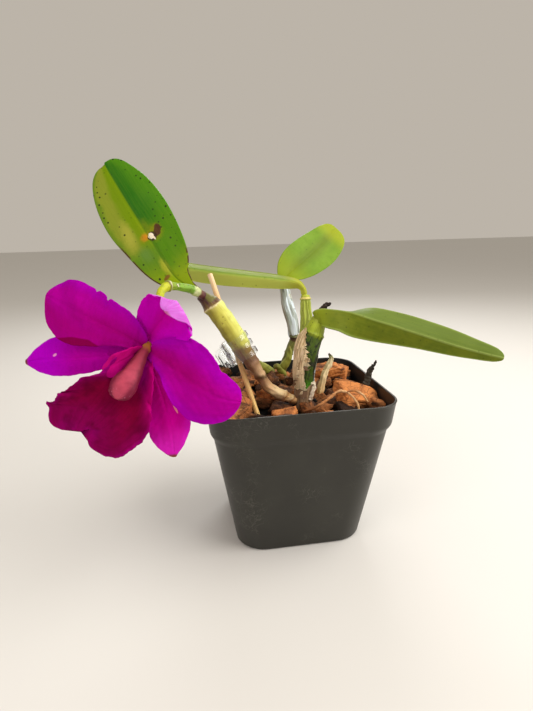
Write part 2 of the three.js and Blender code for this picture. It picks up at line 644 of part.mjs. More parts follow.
// The lip's left side lobe stands up beside the column.
const lipSideLobe = {
  spine: [[-1.2, -1.4, -0.8], [-5.5, -3.6, 2.8], [-11, -7.2, 5], [-17.4, -11.6, 4.8]],
  side: [60, 62, 60, 55].map(directionAt),
  left: [1.5, 3, 4.4, 4.8, 4.4, 3.2, 0.8],
  right: [1.5, 2.2, 3.6, 4.2, 3.8, 2.6, 0.8],
  dish: [0.4, 0.3, 0.2, 0.1, 0, -0.1, -0.1],
  rows: 10,
};
const column = {
  points: [[0.4, 0.6, -2.4], [-1.3, -4.2, 4.2], [-4.1, -11.4, 9.6], [-6.8, -16.4, 13], [-8.2, -19.4, 14.6]],
  radii: [[2.2, 2], [2.6, 2.2], [4.3, 2.8], [5.7, 3.3], [5.2, 2.8]],
  cap: 0.75,
  sides: 12,
  steps: 3,
  reference: [0, 0, 1],
};

// ---------------------------------------------------------------- the claw clip, in its own frame
// X points across the cane, Y towards the front, Z down along the pin; the origin is the pin's middle.
const frontJaw = [[-4.4, 6.4], [-2.4, 3.8], [0.3, 2.8], [2.6, 4.8], [5.4, 6.8], [9.2, 7.1], [12.7, 5.3], [14.8, 0.8]];
const rearJaw = [[-6.4, -6.4], [-3.4, -4], [-0.3, -2.8], [0.2, -4.6], [0.8, -7.4], [3, -9.8], [7, -10.3],
  [11.4, -8.2], [14, -3.8], [14.9, -0.4]];
const tabWide = [-3.4, 7.2];
const slots = [[-2.2, 0.1], [2.9, 5.2]];
const web = [0.5, 2.9]; // joins a knuckle to its plate
const box = (low, high) => {
  const geometry = new THREE.BoxGeometry(high[0] - low[0], high[1] - low[1], high[2] - low[2]);
  return solid(geometry.translate((low[0] + high[0]) / 2, (low[1] + high[1]) / 2, (low[2] + high[2]) / 2));
};
const rod = (radius, low, high, sides = 12) => {
  const geometry = new THREE.CylinderGeometry(radius, radius, high - low, sides);
  return solid(geometry.rotateX(Math.PI / 2).translate(0, 0, (low + high) / 2));
};

// A curved plate, extruded along the pin from the line of its middle.
function jawPlate(line) {
  const path = new THREE.SplineCurve(line.map(([x, y]) => new THREE.Vector2(x, y)));
  const steps = 2 * (line.length - 1);
  const sideOf = (sign) => Array.from({ length: steps + 1 }, (_, i) => {
    const at = path.getPoint(i / steps);
    const tangent = path.getTangent(i / steps);
    const reach = (sign * CLIP.plate) / 2;
    return new THREE.Vector2(at.x - tangent.y * reach, at.y + tangent.x * reach);
  });
  const outline = new THREE.Shape([...sideOf(1), ...sideOf(-1).reverse()]);
  const plate = new THREE.ExtrudeGeometry(outline, { depth: CLIP.high - CLIP.low, bevelEnabled: false });
  return solid(plate.translate(0, 0, CLIP.low));
}

// A jaw: its plate cut into a round finger tab and three claws, on knuckles that the pin runs through.
function jaw(line, knuckles, above) {
  let body = jawPlate(line);
  const { far, tabTo } = CLIP;
  for (const [low, high] of slots) body = body.subtract(box([CLIP.clawsFrom, -far, low], [far, far, high]));
  body = body.subtract(box([-far, -far, CLIP.low - 1], [tabTo, far, tabWide[0]]));
  body = body.subtract(box([-far, -far, tabWide[1]], [tabTo, far, CLIP.high + 1]));
  const end = Math.min(...line.map(([x]) => x)) - CLIP.plate / 2;
  const inner = end + CLIP.tabRound;
  for (const [edge, sign] of [[tabWide[0], 1], [tabWide[1], -1]]) {
    const middle = edge + sign * CLIP.tabRound;
    const corner = box([end - 1, -far, Math.min(edge - sign, middle)], [inner, far, Math.max(edge - sign, middle)]);
    const round = new THREE.CylinderGeometry(CLIP.tabRound, CLIP.tabRound, 2 * far, 24).translate(inner, 0, middle);
    body = body.subtract(corner.subtract(solid(round)));
  }
  for (const [low, high] of knuckles) {
    const [from, to] = above ? web : [-web[1], -web[0]];
    body = body.add(rod(CLIP.knuckle, low, high)).add(box([-1, from, low], [1, to, high]));
  }
  return body.subtract(rod(CLIP.bore, CLIP.low - 1, CLIP.high + 1));
}

const clipPieces = {
  clip_pin: rod(CLIP.pinRadius, -4.6, 7.6),
  clip_spring: rod(CLIP.knuckle, 0.6, 2.4).subtract(rod(CLIP.bore, 0, 3)),
  clip_jaw_rear: jaw(rearJaw, [[-1.3, 0.3], [2.7, 4.3]], false),
  clip_jaw_front: jaw(frontJaw, [[-4.2, -1.6], [4.6, 7.2]], true),
};

// ---------------------------------------------------------------- placing and clearing
// Each piece is trimmed by those placed before it, grown by the gap, so that none overlap.
function clearOf(shapes, neighbours = []) {
  const placed = neighbours.map((grown) => ({ grown, bounds: grown.boundingBox() }));
  const result = {};
  for (const [name, make] of Object.entries(shapes)) {
    let body = make(0);
    const own = body.boundingBox();
    for (const { grown, bounds } of placed) {
      const apart = [0, 1, 2].some((k) => own.min[k] > bounds.max[k] || bounds.min[k] > own.max[k]);
      if (!apart) body = body.subtract(grown);
    }
    result[name] = mainBody(body);
    const grown = make(GAP);
    placed.push({ grown, bounds: grown.boundingBox() });
  }
  return result;
}

// A frame from the direction of one of its axes, with X level where it can be.
function facingFrame(at, facing) {
  const z = vec(facing).normalize();
  const x = new THREE.Vector3(0, 0, 1).cross(z).normalize();
  const y = new THREE.Vector3().crossVectors(z, x);
  return new THREE.Matrix4().makeBasis(x, y, z).setPosition(vec(at));
}
const flowerFrame = facingFrame(FLOWER.at, FLOWER.facing);

function clipFrame() {
  const z = vec(CLIP.axis).normalize();
  const towards = vec(FLOWER.facing).normalize();
  const y = towards.addScaledVector(z, -towards.dot(z)).normalize();
  const x = new THREE.Vector3().crossVectors(y, z);
  return new THREE.Matrix4().makeBasis(x, y, z).setPosition(vec(CLIP.pinAt));
}

const stakeDirection = vec(STAKE.top).sub(vec(STAKE.foot)).normalize();
const stakeFoot = vec(STAKE.foot).addScaledVector(stakeDirection, -STAKE.buried);
function makeStake(grow) {
  const length = vec(STAKE.top).sub(stakeFoot).length() + 2 * grow;
  const geometry = new THREE.CylinderGeometry(STAKE.radius + grow, STAKE.radius + grow, length, 12);
  geometry.applyQuaternion(new THREE.Quaternion().setFromUnitVectors(new THREE.Vector3(0, 1, 0), stakeDirection));
  const middle = vec(STAKE.top).add(stakeFoot).multiplyScalar(0.5);
  return solid(geometry.translate(...middle.toArray()));
}

const fused = (list, make, grow) => list.map((shape) => make(shape, grow)).reduce((a, b) => a.add(b));
const leafShape = (name) => (grow) => blade({ ...leaves[name], thick: LEAF.thick, edge: LEAF.edge }, grow);
const tepalShape = (name) => (grow) => (
  blade({ cols: 8, ...tepals[name], thick: TEPAL.thick, edge: TEPAL.edge }, grow));
const lipShape = (grow) => fused(
  [lipMiddle, lipSideLobe].map((part) => ({ ...part, thick: TEPAL.thick, edge: TEPAL.edge })),
  blade,
  grow,
);

const inFlower = clearOf({
  flower_stalk: (grow) => stem(flowerStalk, grow),
  column: (grow) => stem(column, grow),
  lip: lipShape,
  petal_left: tepalShape('petal_left'),
  petal_right: tepalShape('petal_right'),
  sepal_dorsal: tepalShape('sepal_dorsal'),
  sepal_left: tepalShape('sepal_left'),
  sepal_right: tepalShape('sepal_right'),
});
const stalkInPlant = stem(flowerStalk, GAP).transform(flowerFrame.elements);

const inPlant = clearOf({
  stake: makeStake,
  rhizome: (grow) => stem(stems.rhizome, grow),
  ...Object.fromEntries(['cane_b', 'cane_c', 'cane_d', 'cane_a'].map((name) => (
    [name, (grow) => stem(stems[name], grow)]))),
  ...Object.fromEntries(Object.keys(leaves).map((name) => [name, leafShape(name)])),
  ...Object.fromEntries(Object.keys(husks).map((name) => [name, (grow) => husk(husks[name], grow)])),
  dried_spathe: (grow) => stem(stems.dried_spathe, grow),
  old_stub: (grow) => stem(stems.old_stub, grow),
  green_shoot: (grow) => fused(shootStems, stem, grow),
  surface_root: (grow) => fused(surfaceRoots, stem, grow),
  dead_roots: (grow) => fused(deadRoots, stem, grow),
  ...Object.fromEntries(Object.keys(chips).map((name) => [name, (grow) => barkChip(chips[name], grow)])),
  bark_bed: barkBed,
}, [stalkInPlant]);

// ---------------------------------------------------------------- colours and the scene graph
const finish = (color, roughness = 0.6, extra = {}) => (
  new THREE.MeshStandardMaterial({ color, roughness, metalness: 0, ...extra }));
const paint = {
  pot: finish(0x3a3b38, 0.55),
  bark: finish(0x7a4526, 0.95),
  orangeBark: finish(0xb8733c, 0.9),
  stake: finish(0xdca85f, 0.7),
  greenCane: finish(0x4f7a26, 0.5),
  yellowCane: finish(0xbfc046, 0.5),
  brownStem: finish(0x7d6148, 0.8),
  leafDark: finish(0x4f8f26, 0.35),
  leafPale: finish(0x8ea04c, 0.45),
  husk: finish(0xbfa078, 0.85),
  silver: finish(0xaab8bc, 0.5),
  dried: finish(0x3a2a22, 0.9),
  cream: finish(0xe2cb92, 0.8),
  petal: finish(0xa5008c, 0.5),
  lip: finish(0x7a0046, 0.6),
  column: finish(0xc85064, 0.5),
  clear: finish(0xf0f0ee, 0.15, { transparent: true, opacity: 0.4 }),
};
const paintOf = {
  pot: 'pot', bark_bed: 'bark', bark_chip_right: 'orangeBark', bark_chip_front: 'orangeBark',
  bark_chip_left: 'bark', bark_chip_back: 'orangeBark', stake: 'stake', rhizome: 'brownStem',
  cane_a: 'yellowCane', cane_b: 'greenCane', cane_c: 'yellowCane', cane_d: 'brownStem', leaf_a: 'leafDark',
  leaf_b: 'leafPale', leaf_c: 'leafPale', leaf_d: 'leafPale', husk_b: 'husk', husk_b_shard: 'cream',
  husk_d: 'silver', dried_spathe: 'dried', old_stub: 'cream', green_shoot: 'leafPale', surface_root: 'husk',
  dead_roots: 'dried', flower_stalk: 'yellowCane', column: 'column', lip: 'lip',
};

function meshOf(name, body, fallback) {
  const mesh = new THREE.Mesh(geometryOf(body), paint[paintOf[name] ?? fallback]);
  mesh.name = name;
  return mesh;
}

const orchid = new THREE.Group();
orchid.add(meshOf('pot', makePot()));
for (const [name, body] of Object.entries(inPlant)) orchid.add(meshOf(name, body));

const flower = new THREE.Group();
flower.applyMatrix4(flowerFrame);
for (const [name, body] of Object.entries(inFlower)) flower.add(meshOf(name, body, 'petal'));
orchid.add(flower);

const clip = new THREE.Group();
clip.applyMatrix4(clipFrame());
for (const [name, body] of Object.entries(clipPieces)) clip.add(meshOf(name, body, 'clear'));
orchid.add(clip);

export default orchid;
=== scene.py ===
"""A flowering cattleya orchid in its square nursery pot: every piece's finish, the stage and the camera."""

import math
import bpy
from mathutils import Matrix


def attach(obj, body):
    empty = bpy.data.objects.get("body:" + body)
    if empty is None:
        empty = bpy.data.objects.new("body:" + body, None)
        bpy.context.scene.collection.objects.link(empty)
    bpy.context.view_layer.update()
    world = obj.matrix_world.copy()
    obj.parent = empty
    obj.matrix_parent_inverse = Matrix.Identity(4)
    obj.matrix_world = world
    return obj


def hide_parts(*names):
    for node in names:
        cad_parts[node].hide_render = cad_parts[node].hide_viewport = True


bl_info = {
    "name": "Potted cattleya orchid",
    "version": (1, 0, 0),
    "blender": (4, 5, 0),
    "location": "3D View > Sidebar > Orchid",
    "description": "Grows a potted cattleya orchid round its packed solids",
    "category": "Add Mesh",
}

import bmesh
import bpy
import numpy as np
from bpy.props import FloatProperty, FloatVectorProperty, IntProperty, PointerProperty
from mathutils import Matrix, Vector

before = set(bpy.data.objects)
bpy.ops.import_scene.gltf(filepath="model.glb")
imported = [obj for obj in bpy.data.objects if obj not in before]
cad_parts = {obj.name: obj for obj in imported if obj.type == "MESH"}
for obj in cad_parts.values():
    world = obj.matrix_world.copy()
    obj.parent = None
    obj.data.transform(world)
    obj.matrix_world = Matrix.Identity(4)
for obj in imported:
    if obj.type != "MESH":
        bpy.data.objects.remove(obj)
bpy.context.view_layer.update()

MM = 0.001
PLANT = "plant"
CHART = "chart"

# ---------------------------------------------------------------- sizes shared with the solids, in mm
POT = {
    "height": 85.0, "rim": 51.0, "base": 36.0, "collar_tall": 13.5, "collar": 49.3, "body_top": 47.4,
    "step_tall": 3.5, "corner": 16.5, "wall": 1.3, "floor": 2.0, "drain_radius": 4.5, "drain_offset": 21.0,
    "foot": 1.0, "soft": 0.8,
}
BED = {"core": 66.0, "level": 77.6, "rise": 2.4, "reach": 43.0, "hollows": [(-19, -19, 10, 12), (5, -19, 5, 9)]}
STAKE = {"foot": (-19.7, -14.9, 66.5), "top": (-42.6, 10.9, 149.0), "radius": 1.5, "buried": 45.0}
LEAF = {"thick": 1.7, "edge": 0.9}
TEPAL = {"thick": 1.1, "edge": 0.75}
FLOWER = {"at": (-77.0, -50.0, 124.0), "facing": (-0.161, -0.953, 0.256)}
CAMERA = {
    "at": (-62.4, -292.5, 181.2), "yaw": 0.1669, "pitch": -0.2588, "roll": -0.0216,
    "focal_px": 534.0, "picture_px": (533, 711),
}

CANE_A = {
    "points": [(1.2, -12.8, 78.4), (-3.3, -10.9, 80.4), (-8.5, -9.8, 82.5), (-14.2, -9.4, 86.7),
               (-18.4, -9.3, 93.5), (-22.4, -9.2, 100.8), (-27.6, -8.3, 108.9), (-31.4, -7.2, 115.7),
               (-36.2, -5.9, 124.1), (-40.2, -4.9, 130.2), (-43.5, -4.1, 134.1), (-46.3, -3.6, 137),
               (-48.6, -3.4, 139.4)],
    "radii": [2.5, 2.6, 3.2, 3.1, 2.9, 3.7, 4.9, 5.5, 5.6, 5.5, 5.3, 3.7, 3.1],
    "nodes": [(0.04, 0.4, 0.01), (0.11, 0.7, 0.012), (0.34, 0.5, 0.012), (0.42, 0.5, 0.012)],
}
LEAN = 0.0135  # of cane A's length: how far its cut ring slants
CANE_B = {
    "points": [(5.2, -12.8, 73.7), (5.5, -11.5, 80.5), (6.7, -10.6, 86.7), (7.3, -9.2, 96.3),
               (9.3, -7.8, 107.5), (12.9, -7, 115.9), (16, -7.1, 123.2)],
    "radii": [3.2, 3.5, 4.4, 5, 6.2, 5.9, 4.2],
    "nodes": [(0.17, 0.5, 0.015), (0.83, 0.4, 0.02)],
}
CANE_C = {
    "points": [(9.6, 3.4, 80), (11.2, 6.7, 91.6), (12.6, 9.6, 105), (13.8, 12, 116.7), (13.6, 14.2, 126.6),
               (13.6, 15.4, 133.6)],
    "radii": [2.6, 3.6, 4.3, 3.8, 2.9, 2.6],
    "nodes": [(0.95, 0.4, 0.02), (0.45, 0.3, 0.02)],
}
CANE_D = {
    "points": [(2.8, 38.4, 79.1), (6.2, 38.2, 88.5), (9.6, 38, 97.8), (11.6, 37.7, 103.8),
               (10.5, 38.3, 114.9), (7.6, 39.6, 125.9), (6.2, 40.3, 135.5)],
    "radii": [2.8, 2.5, 2.3, 2.5, 2.5, 2.3, 2],
    "nodes": [(0.5, 0.7, 0.015), (0.25, 0.5, 0.015)],
}
RHIZOME = {
    "points": [(2.6, 40, 76.5), (6, 24, 75.5), (8.5, 6, 75.5), (6, -8, 75), (5, -17, 73.5)],
    "radii": [3.2, 3.3, 3.4, 3.5, 3],
    "nodes": [(0.12, 0.5, 0.02), (0.38, 0.5, 0.02), (0.6, 0.5, 0.02), (0.86, 0.5, 0.02)],
    "reference": (0, 0, 1),
}
OLD_STUB = {
    "points": [(17.2, -2.6, 74), (20.7, 0.6, 86.5), (24.2, 3.1, 92.3), (27, 5.4, 96.7), (26, 6.6, 99.6)],
    "radii": [2.2, 1.8, 1.6, 1.3, 0.6],
}
DRIED_SPATHE = {
    "points": [(17.6, -5.2, 123.8), (18.8, -3, 127.8), (21.2, -2.4, 130.4), (24.2, -2.6, 131.5)],
    "radii": [1.1, 1.4, 1.3, 0.5],
}
GREEN_SHOOT = [
    {"points": [(-13.1, 33.3, 89.5), (-10.7, 32.3, 87.2), (-7.6, 32.2, 84.7), (-4, 32.1, 82.8)],
     "radii": [1.8, 2.7, 3.1, 2.6]},
    {"points": [(3.7, 33.1, 79.6), (1.8, 33.3, 83.1), (0.5, 33.1, 85.2), (-2.2, 31.8, 86.7)],
     "radii": [2.2, 2.5, 2.2, 1.7]},
    {"points": [(1.3, 33.9, 82.9), (4.2, 33.4, 86.9), (6.8, 33, 90.9), (7.5, 33, 95.2), (7.4, 33.1, 99.4)],
     "radii": [2.3, 2.6, 2.1, 1.4, 0.6]},
]
SURFACE_ROOT = [
    {"points": [(4, -22, 75), (9, -28.5, 79.8), (14, -27.4, 82.2), (18.5, -25.4, 84.2), (23.2, -24.1, 86.2),
                (27, -25.5, 85.6), (29.4, -28.2, 83.6), (31.2, -31.2, 80.6), (31.4, -33.4, 77.4)],
     "radii": [0.8, 0.8, 0.8, 0.8, 0.8, 0.7, 0.6, 0.6, 0.5]},
    {"points": [(27, -25.5, 85.6), (31, -26.6, 86.6), (35, -28.6, 84.6), (37.4, -30.2, 81)],
     "radii": [0.7, 0.6, 0.6, 0.5]},
]
DEAD_ROOTS = [
    {"points": [(44, -7, 76), (45.4, -5, 82), (48, -3.4, 87.4), (50.8, -2, 92), (53, -1, 95.5)],
     "radii": [3, 2.4, 1.1, 0.8, 0.5]},
    {"points": [(44.5, -5.5, 79), (46.4, -3, 86.6), (48.2, -2.4, 90.8), (50.4, -2.4, 93.4)],
     "radii": [1.8, 1, 0.8, 0.5]},
]
FLOWER_STALK = {
    "points": [(21.4, 27.6, -42.6), (15.5, 30.4, -36.4), (9.4, 31, -30.4), (5.4, 30.6, -25.6),
               (3.4, 28, -21.4), (2.6, 22.8, -17.4), (1.8, 14, -12.6), (0.9, 5.4, -8), (0.4, 1, -4.6)],
    "radii": [2.3, 2.2, 2.1, 2.3, 2.1, 1.9, 2, 2.4, 2.6],
    "nodes": [(0.08, 0.4, 0.02), (0.36, 0.7, 0.025)],
    "reference": (0, 1, 0.2),
}
COLUMN = {
    "points": [(0.4, 0.6, -2.4), (-1.3, -4.2, 4.2), (-4.1, -11.4, 9.6), (-6.8, -16.4, 13), (-8.2, -19.4, 14.6)],
    "radii": [(2.2, 2), (2.6, 2.2), (4.3, 2.8), (5.7, 3.3), (5.2, 2.8)],
    "reference": (0, 0, 1), "cap": 0.75,
}
HUSK_B = {
    "points": CANE_B["points"][1:6], "radii": CANE_B["radii"][1:6], "off": 0.75, "wall": 0.7,
    "first": [1.7, 1.75, 1.8, 2.0, 2.6, 3.4], "last": [4.9, 4.65, 4.5, 4.4, 4.2, 3.8],
}
HUSK_B_SHARD = {
    "points": CANE_B["points"][2:5], "radii": CANE_B["radii"][2:5], "off": 0.6, "wall": 0.6,
    "first": [6, 6.1, 6.4], "last": [6.6, 6.5, 6.6],
}
HUSK_D = {
    "points": [(11.4, 37.8, 106)] + CANE_D["points"][4:], "radii": CANE_D["radii"][3:], "off": 0.65,
    "wall": 0.6, "first": [1.9, 1.8, 1.9, 2.3], "last": [7.6, 7.9, 7.8, 6.9],
}
LEAF_A = {
    "spine": [(-49.2, -2.8, 140.8), (-56.5, -0.4, 145), (-63.5, 3.9, 151.4), (-74.5, 14, 170.4),
              (-83.5, 23.8, 185.5), (-97.1, 38.9, 209.8)],
    "side": [(0.7, 0.1, 0.7)] * 2 + [(0.8, 0, 0.55)] + [(0.86, -0.04, 0.5)] * 3,
    "left": [1.8, 2.2, 2.8, 5.6, 13.4, 17.2, 16.6, 11, 2.6],
    "right": [1.6, 2, 3.2, 8, 15.2, 18, 16.8, 10.6, 2.6],
    "dish": [0.5, 0.4, 0.3, 0.2, 0.15, 0.12, 0.1, 0.1, 0.1],
    "lobes": (-0.2, 1.5),
}
LEAF_B = {
    "spine": [(12.4, -6.8, 127.6), (16.6, -7.4, 128.6), (22.6, -9.2, 128.2), (30.4, -11.6, 127),
              (43.3, -17.3, 123.6), (62.2, -25.3, 117.7), (81.7, -33.4, 111.4), (94.7, -38.7, 107.7),
              (107.2, -44.2, 104.7)],
    "side": [(0, 0.93, 0.34), (0.1, 0.93, 0.34), (0.15, 0.93, 0.34), (0.15, 0.9, 0.4), (0.15, 0.57, 0.82),
             (0.2, 0.3, 0.93), (0.25, 0.1, 0.96), (0.25, 0.05, 0.96), (0.25, 0.05, 0.96)],
    "left": [3.6, 5.8, 8.4, 9.8, 9.8, 6.6, 4.4, 2.8, 0.6],
    "right": [2.4, 3.4, 6.6, 9.6, 10.2, 8.4, 6, 3.8, 0.6],
    "dish": [0.9, 0.8, 0.7, 0.7, 0.7, 0.6, 0.5, 0.4, 0.3],
}
LEAF_C = {
    "spine": [(13.6, 15.4, 134.4), (12.3, 16.4, 138.4), (8.4, 17.8, 141.4), (-1.9, 19.5, 143.3),
              (-18.2, 22.3, 145.5),
              (-35.7, 24.7, 147.8), (-53, 26.2, 150.8), (-65.6, 26.8, 153.1), (-74.7, 27.5, 154)],
    "side": [(0.9, 0.3, 0.3), (0.6, 0.3, 0.7), (0.2, 0.35, 0.93)] + [(0, 0.37, 0.93)] * 6,
    "left": [1.7, 1.5, 1.5, 3.4, 4.9, 5.2, 4.4, 2.6, 0.5],
    "right": [1.7, 1.7, 1.9, 3.4, 4.6, 4.9, 4.3, 2.6, 0.5],
    "dish": [-0.8, -0.9, -1.1, -1.2, -1.2, -1.2, -1.1, -1, -0.8],
}
LEAF_D = {
    "spine": [(6.2, 40.6, 136.2), (8.5, 42.9, 142.7), (14.7, 47.3, 147.2), (25.2, 54.6, 153.6),
              (36.7, 64.1, 160.9), (50, 74.8, 171)],
    "side": [(0.9, -0.2, -0.3), (0.8, -0.3, -0.5)] + [(0.6, -0.3, -0.7)] * 4,
    "left": [2, 2.8, 5.2, 10.4, 12.8, 12.2, 10, 6.4, 1.4],
    "right": [1.8, 3, 5.2, 8, 11.8, 14, 13.4, 9.8, 2.6],
    "dish": [0.6, 0.5, 0.35, 0.25, 0.2, 0.15, 0.1, 0.1, 0.1],
}


def turned(*angles):
    """Directions in the flower's plane, from angles in degrees."""
    return [(math.cos(math.radians(a)), math.sin(math.radians(a)), 0) for a in angles]


PETAL_DISH = [0.3, 0.25, 0.2, 0.1, 0, -0.1, -0.15, -0.2, -0.2]
SEPAL_DISH = [0.1, 0.1, 0, -0.1, -0.2, -0.2, -0.1, 0, 0]
TEPALS = {
    "petal_left": {
        "spine": [(-1.2, 0.2, -0.4), (-6.6, 3.9, 3), (-13.9, 8, 5.5), (-23.3, 13, 6.5), (-34.4, 19.2, 5),
                  (-44.5, 24.4, 1)],
        "side": turned(60, 62, 64, 64, 62, 60),
        "left": [2.6, 3, 3.8, 6, 10.8, 14.7, 13, 7.4, 1.2],
        "right": [2.4, 4, 6.6, 10, 11.4, 12.2, 11.4, 6.6, 1.2],
        "dish": PETAL_DISH, "ruffle": 0.8, "waves": 2, "crimp": 0.01,
        "nicks": [(0.535, 0.13, 0.012, 1), (0.655, 0.09, 0.011, 1), (0.6, -0.03, 0.035, 1)],
    },
    "petal_right": {
        "spine": [(1.4, -1.4, -0.4), (7.6, -6.3, 3), (15.1, -11.8, 5.5), (24.5, -18.2, 6.5), (34, -23.8, 5),
                  (42.8, -26.2, 2)],
        "side": turned(235, 235, 236, 238, 240, 250),
        "left": [3, 5.6, 10, 15.2, 15.4, 10.8, 9, 6, 0.8],
        "right": [2.4, 3, 4, 6.6, 12.6, 15, 11, 5.6, 0.8],
        "dish": PETAL_DISH, "ruffle": 0.8, "waves": 2, "phase": 1, "crimp": 0.01,
        "nicks": [(0.69, 0.06, 0.03, -1)],
    },
    "sepal_left": {
        "spine": [(-3.6, -1.5, -3), (-12.6, -3.1, -2), (-23.5, -4.3, 0), (-34.5, -4.5, 1), (-46.3, -4.9, 0),
                  (-56.1, -5.7, -2)],
        "side": turned(80, 85, 88, 88, 88, 88),
        "left": [2.9, 3.2, 3.9, 5.2, 7, 7.7, 5.6, 2.1, 0.4],
        "right": [2.2, 3, 5, 7.5, 9.5, 10.2, 6, 1.6, 0.4],
        "dish": SEPAL_DISH,
    },
    "sepal_right": {
        "spine": [(0, -3.9, -3), (3.2, -13.1, -2), (7.1, -23.6, 0), (9.8, -32.7, 1), (11.3, -42, 0),
                  (11.6, -50.8, -1)],
        "side": turned(195, 192, 190, 185, 182, 180),
        "left": [2.5, 3.7, 5.9, 8.2, 9.6, 8.6, 4.9, 1.5, 0.4],
        "right": [2.5, 2.6, 3.4, 5.8, 8.6, 10.8, 8.4, 3.6, 0.4],
        "dish": SEPAL_DISH,
    },
    "sepal_dorsal": {
        "spine": [(-0.6, 2.6, -2.4), (2, 5.7, -1.6), (6.2, 10.5, 0.4), (10.6, 15.2, 3.2), (14.4, 18.6, 7.6),
                  (15.4, 18.4, 12.6), (11.4, 15, 17)],
        "side": turned(-45, -46, -44, -38, -36, -42, -50),
        "left": [2.5, 4.2, 7.2, 10, 11, 9.6, 6.4, 3.2, 0.5],
        "right": [2.5, 4, 8, 12.6, 15.2, 14, 9.4, 4.2, 0.5],
        "dish": [0.2, 0.2, 0.25, 0.4, 0.5, 0.5, 0.45, 0.4, 0.3],
        "nicks": [(0.31, 0.3, 0.1, 1)],
    },
}
LIP = {
    "spine": [(-0.2, -1.6, -2), (-2.9, -7, 0.5), (-6.4, -14.1, 3.5), (-10.7, -22.2, 8), (-16.6, -29.7, 11),
              (-24, -35.7, 10)],
    "side": turned(144, 146, 148, 147, 140, 135),
    "left": [2.3, 3, 6.6, 12, 17, 19, 14, 8.8, 4],
    "right": [2.6, 4.6, 7.8, 11, 20, 21.8, 20.8, 16.4, 7.4],
    "dish": [0.7, 0.75, 0.8, 0.6, 0.1, -0.12, -0.2, -0.2, -0.2],
    "sweep": [0, 0.1, 0.35, 0.62, 0.55, 0.54, 0.66, 0.8, 1.05],
    "ruffle": 2.2, "waves": 4.5, "crimp": 0.035, "lobes": (0, 2.2), "notch": (-0.5, 4.6, 0.26),
    "nicks": [(0.8, 0.09, 0.028, 1)],
}
LIP_SIDE = {
    "spine": [(-1.2, -1.4, -0.8), (-5.5, -3.6, 4.6), (-11, -7.2, 8), (-17.4, -11.6, 7.6)],
    "side": turned(60, 62, 60, 55),
    "left": [1.5, 3.4, 5, 5.4, 4.8, 3.2, 0.8],
    "right": [1.5, 2.2, 3.6, 4.2, 3.8, 2.6, 0.8],
    "dish": [0.4, 0.3, 0.2, 0.1, 0, -0.1, -0.1],
}
CHIPS = {
    "bark_chip_right": {"at": (36, -16, 79.5), "size": (24, 17, 10), "turn": 0.3,
                        "tilt": (0.55, 0.15), "seed": 5},
    "bark_chip_front": {"at": (-8.6, -27, 74), "size": (15, 10, 7), "turn": -0.35,
                        "tilt": (0.3, -0.15), "seed": 21},
    "bark_chip_left": {"at": (-33, -20, 77.5), "size": (19, 11, 8), "turn": 0.9,
                        "tilt": (0.25, -0.2), "seed": 9},
    "bark_chip_back": {"at": (33, 25, 82), "size": (20, 13, 9), "turn": -0.5,
                        "tilt": (0.4, -0.1), "seed": 33},
}
CLIP = {
    "down": (0.489, -0.131, -0.864), "at": (-36.6, -7.6, 107.7), "pin": (-4.4, 1.5, 7.4), "pin_radius": 0.7,
    "coils": 4.5, "coil_radius": 1.4, "coil_start": 0.75, "coil_long": 1.5, "wire": 0.19, "bevel": 0.25,
}
# ---------------------------------------------------------------- the studio, in metres
FLOOR_HALF = 3.0
LAMP_TARGET = (0, 0, 0.1)
LAMPS = {
    "key": {"at": (0.5, -0.2, 0.62), "size": 0.9, "colour": (1.0, 0.965, 0.92)},
    "fill": {"at": (-0.6, -0.5, 0.4), "size": 0.6, "colour": (1.0, 0.96, 0.92)},
    "rim": {"at": (0.1, 0.6, 0.5), "size": 0.4, "colour": (1.0, 1.0, 1.0)},
}
SKY = {"colour": (236, 226, 212), "strength": 0.6}


# ---------------------------------------------------------------- curves and noise, as whole arrays
def unit(vectors):
    """Vectors over their lengths."""
    return vectors / np.linalg.norm(vectors, axis=-1, keepdims=True)


def spline(points, t):
    """Places and slopes of a uniform Catmull-Rom curve at t from 0 to 1.

    Between points b and c, with neighbours a and d, the place at x is half of
    2b + (c-a)x + (2a-5b+4c-d)x^2 + (3b-a-3c+d)x^3; past its ends the curve's points run straight on.
    """
    keys = np.asarray(points, float)
    keys = np.vstack([2 * keys[:1] - keys[1:2], keys, 2 * keys[-1:] - keys[-2:-1]])
    place = np.clip(t, 0, 1) * (len(keys) - 3)
    i = np.minimum(place.astype(int), len(keys) - 4)
    x = (place - i)[:, None]
    a, b, c, d = keys[i], keys[i + 1], keys[i + 2], keys[i + 3]
    square, cube = 2 * a - 5 * b + 4 * c - d, 3 * b - a - 3 * c + d
    at = 0.5 * (2 * b + (c - a) * x + square * x**2 + cube * x**3)
    slope = 0.5 * ((c - a) + 2 * square * x + 3 * cube * x**2)
    return at, slope


def keyed(values, t):
    """One number that varies smoothly along its keys."""
    return spline(np.asarray(values, float)[:, None], t)[0][:, 0]


def lengths(points):
    """How far along a polyline each of its points lies."""
    return np.concatenate([[0], np.cumsum(np.linalg.norm(np.diff(points, axis=0), axis=1))])


def ripple(points, size, seed):
    """Smooth noise of about -1 to 1: a sum of sines in random directions, with wavelengths round `size`."""
    waves = 12
    random = np.random.RandomState(seed)
    pull = unit(random.normal(size=(waves, 3))) * (2 * math.pi / size) * random.uniform(0.6, 1.7, (waves, 1))
    phase = random.uniform(0, 2 * math.pi, waves)
    return np.sin(points @ pull.T + phase).sum(-1) / math.sqrt(waves)


def bump_at(t, place, width):
    """A smooth hill of height 1 at a place."""
    return np.exp(-(((t - place) / width) ** 2))


def ease(value, low, high):
    """0 below low, 1 above high, and a smooth step between."""
    x = np.clip((value - low) / (high - low), 0, 1)
    return x * x * (3 - 2 * x)


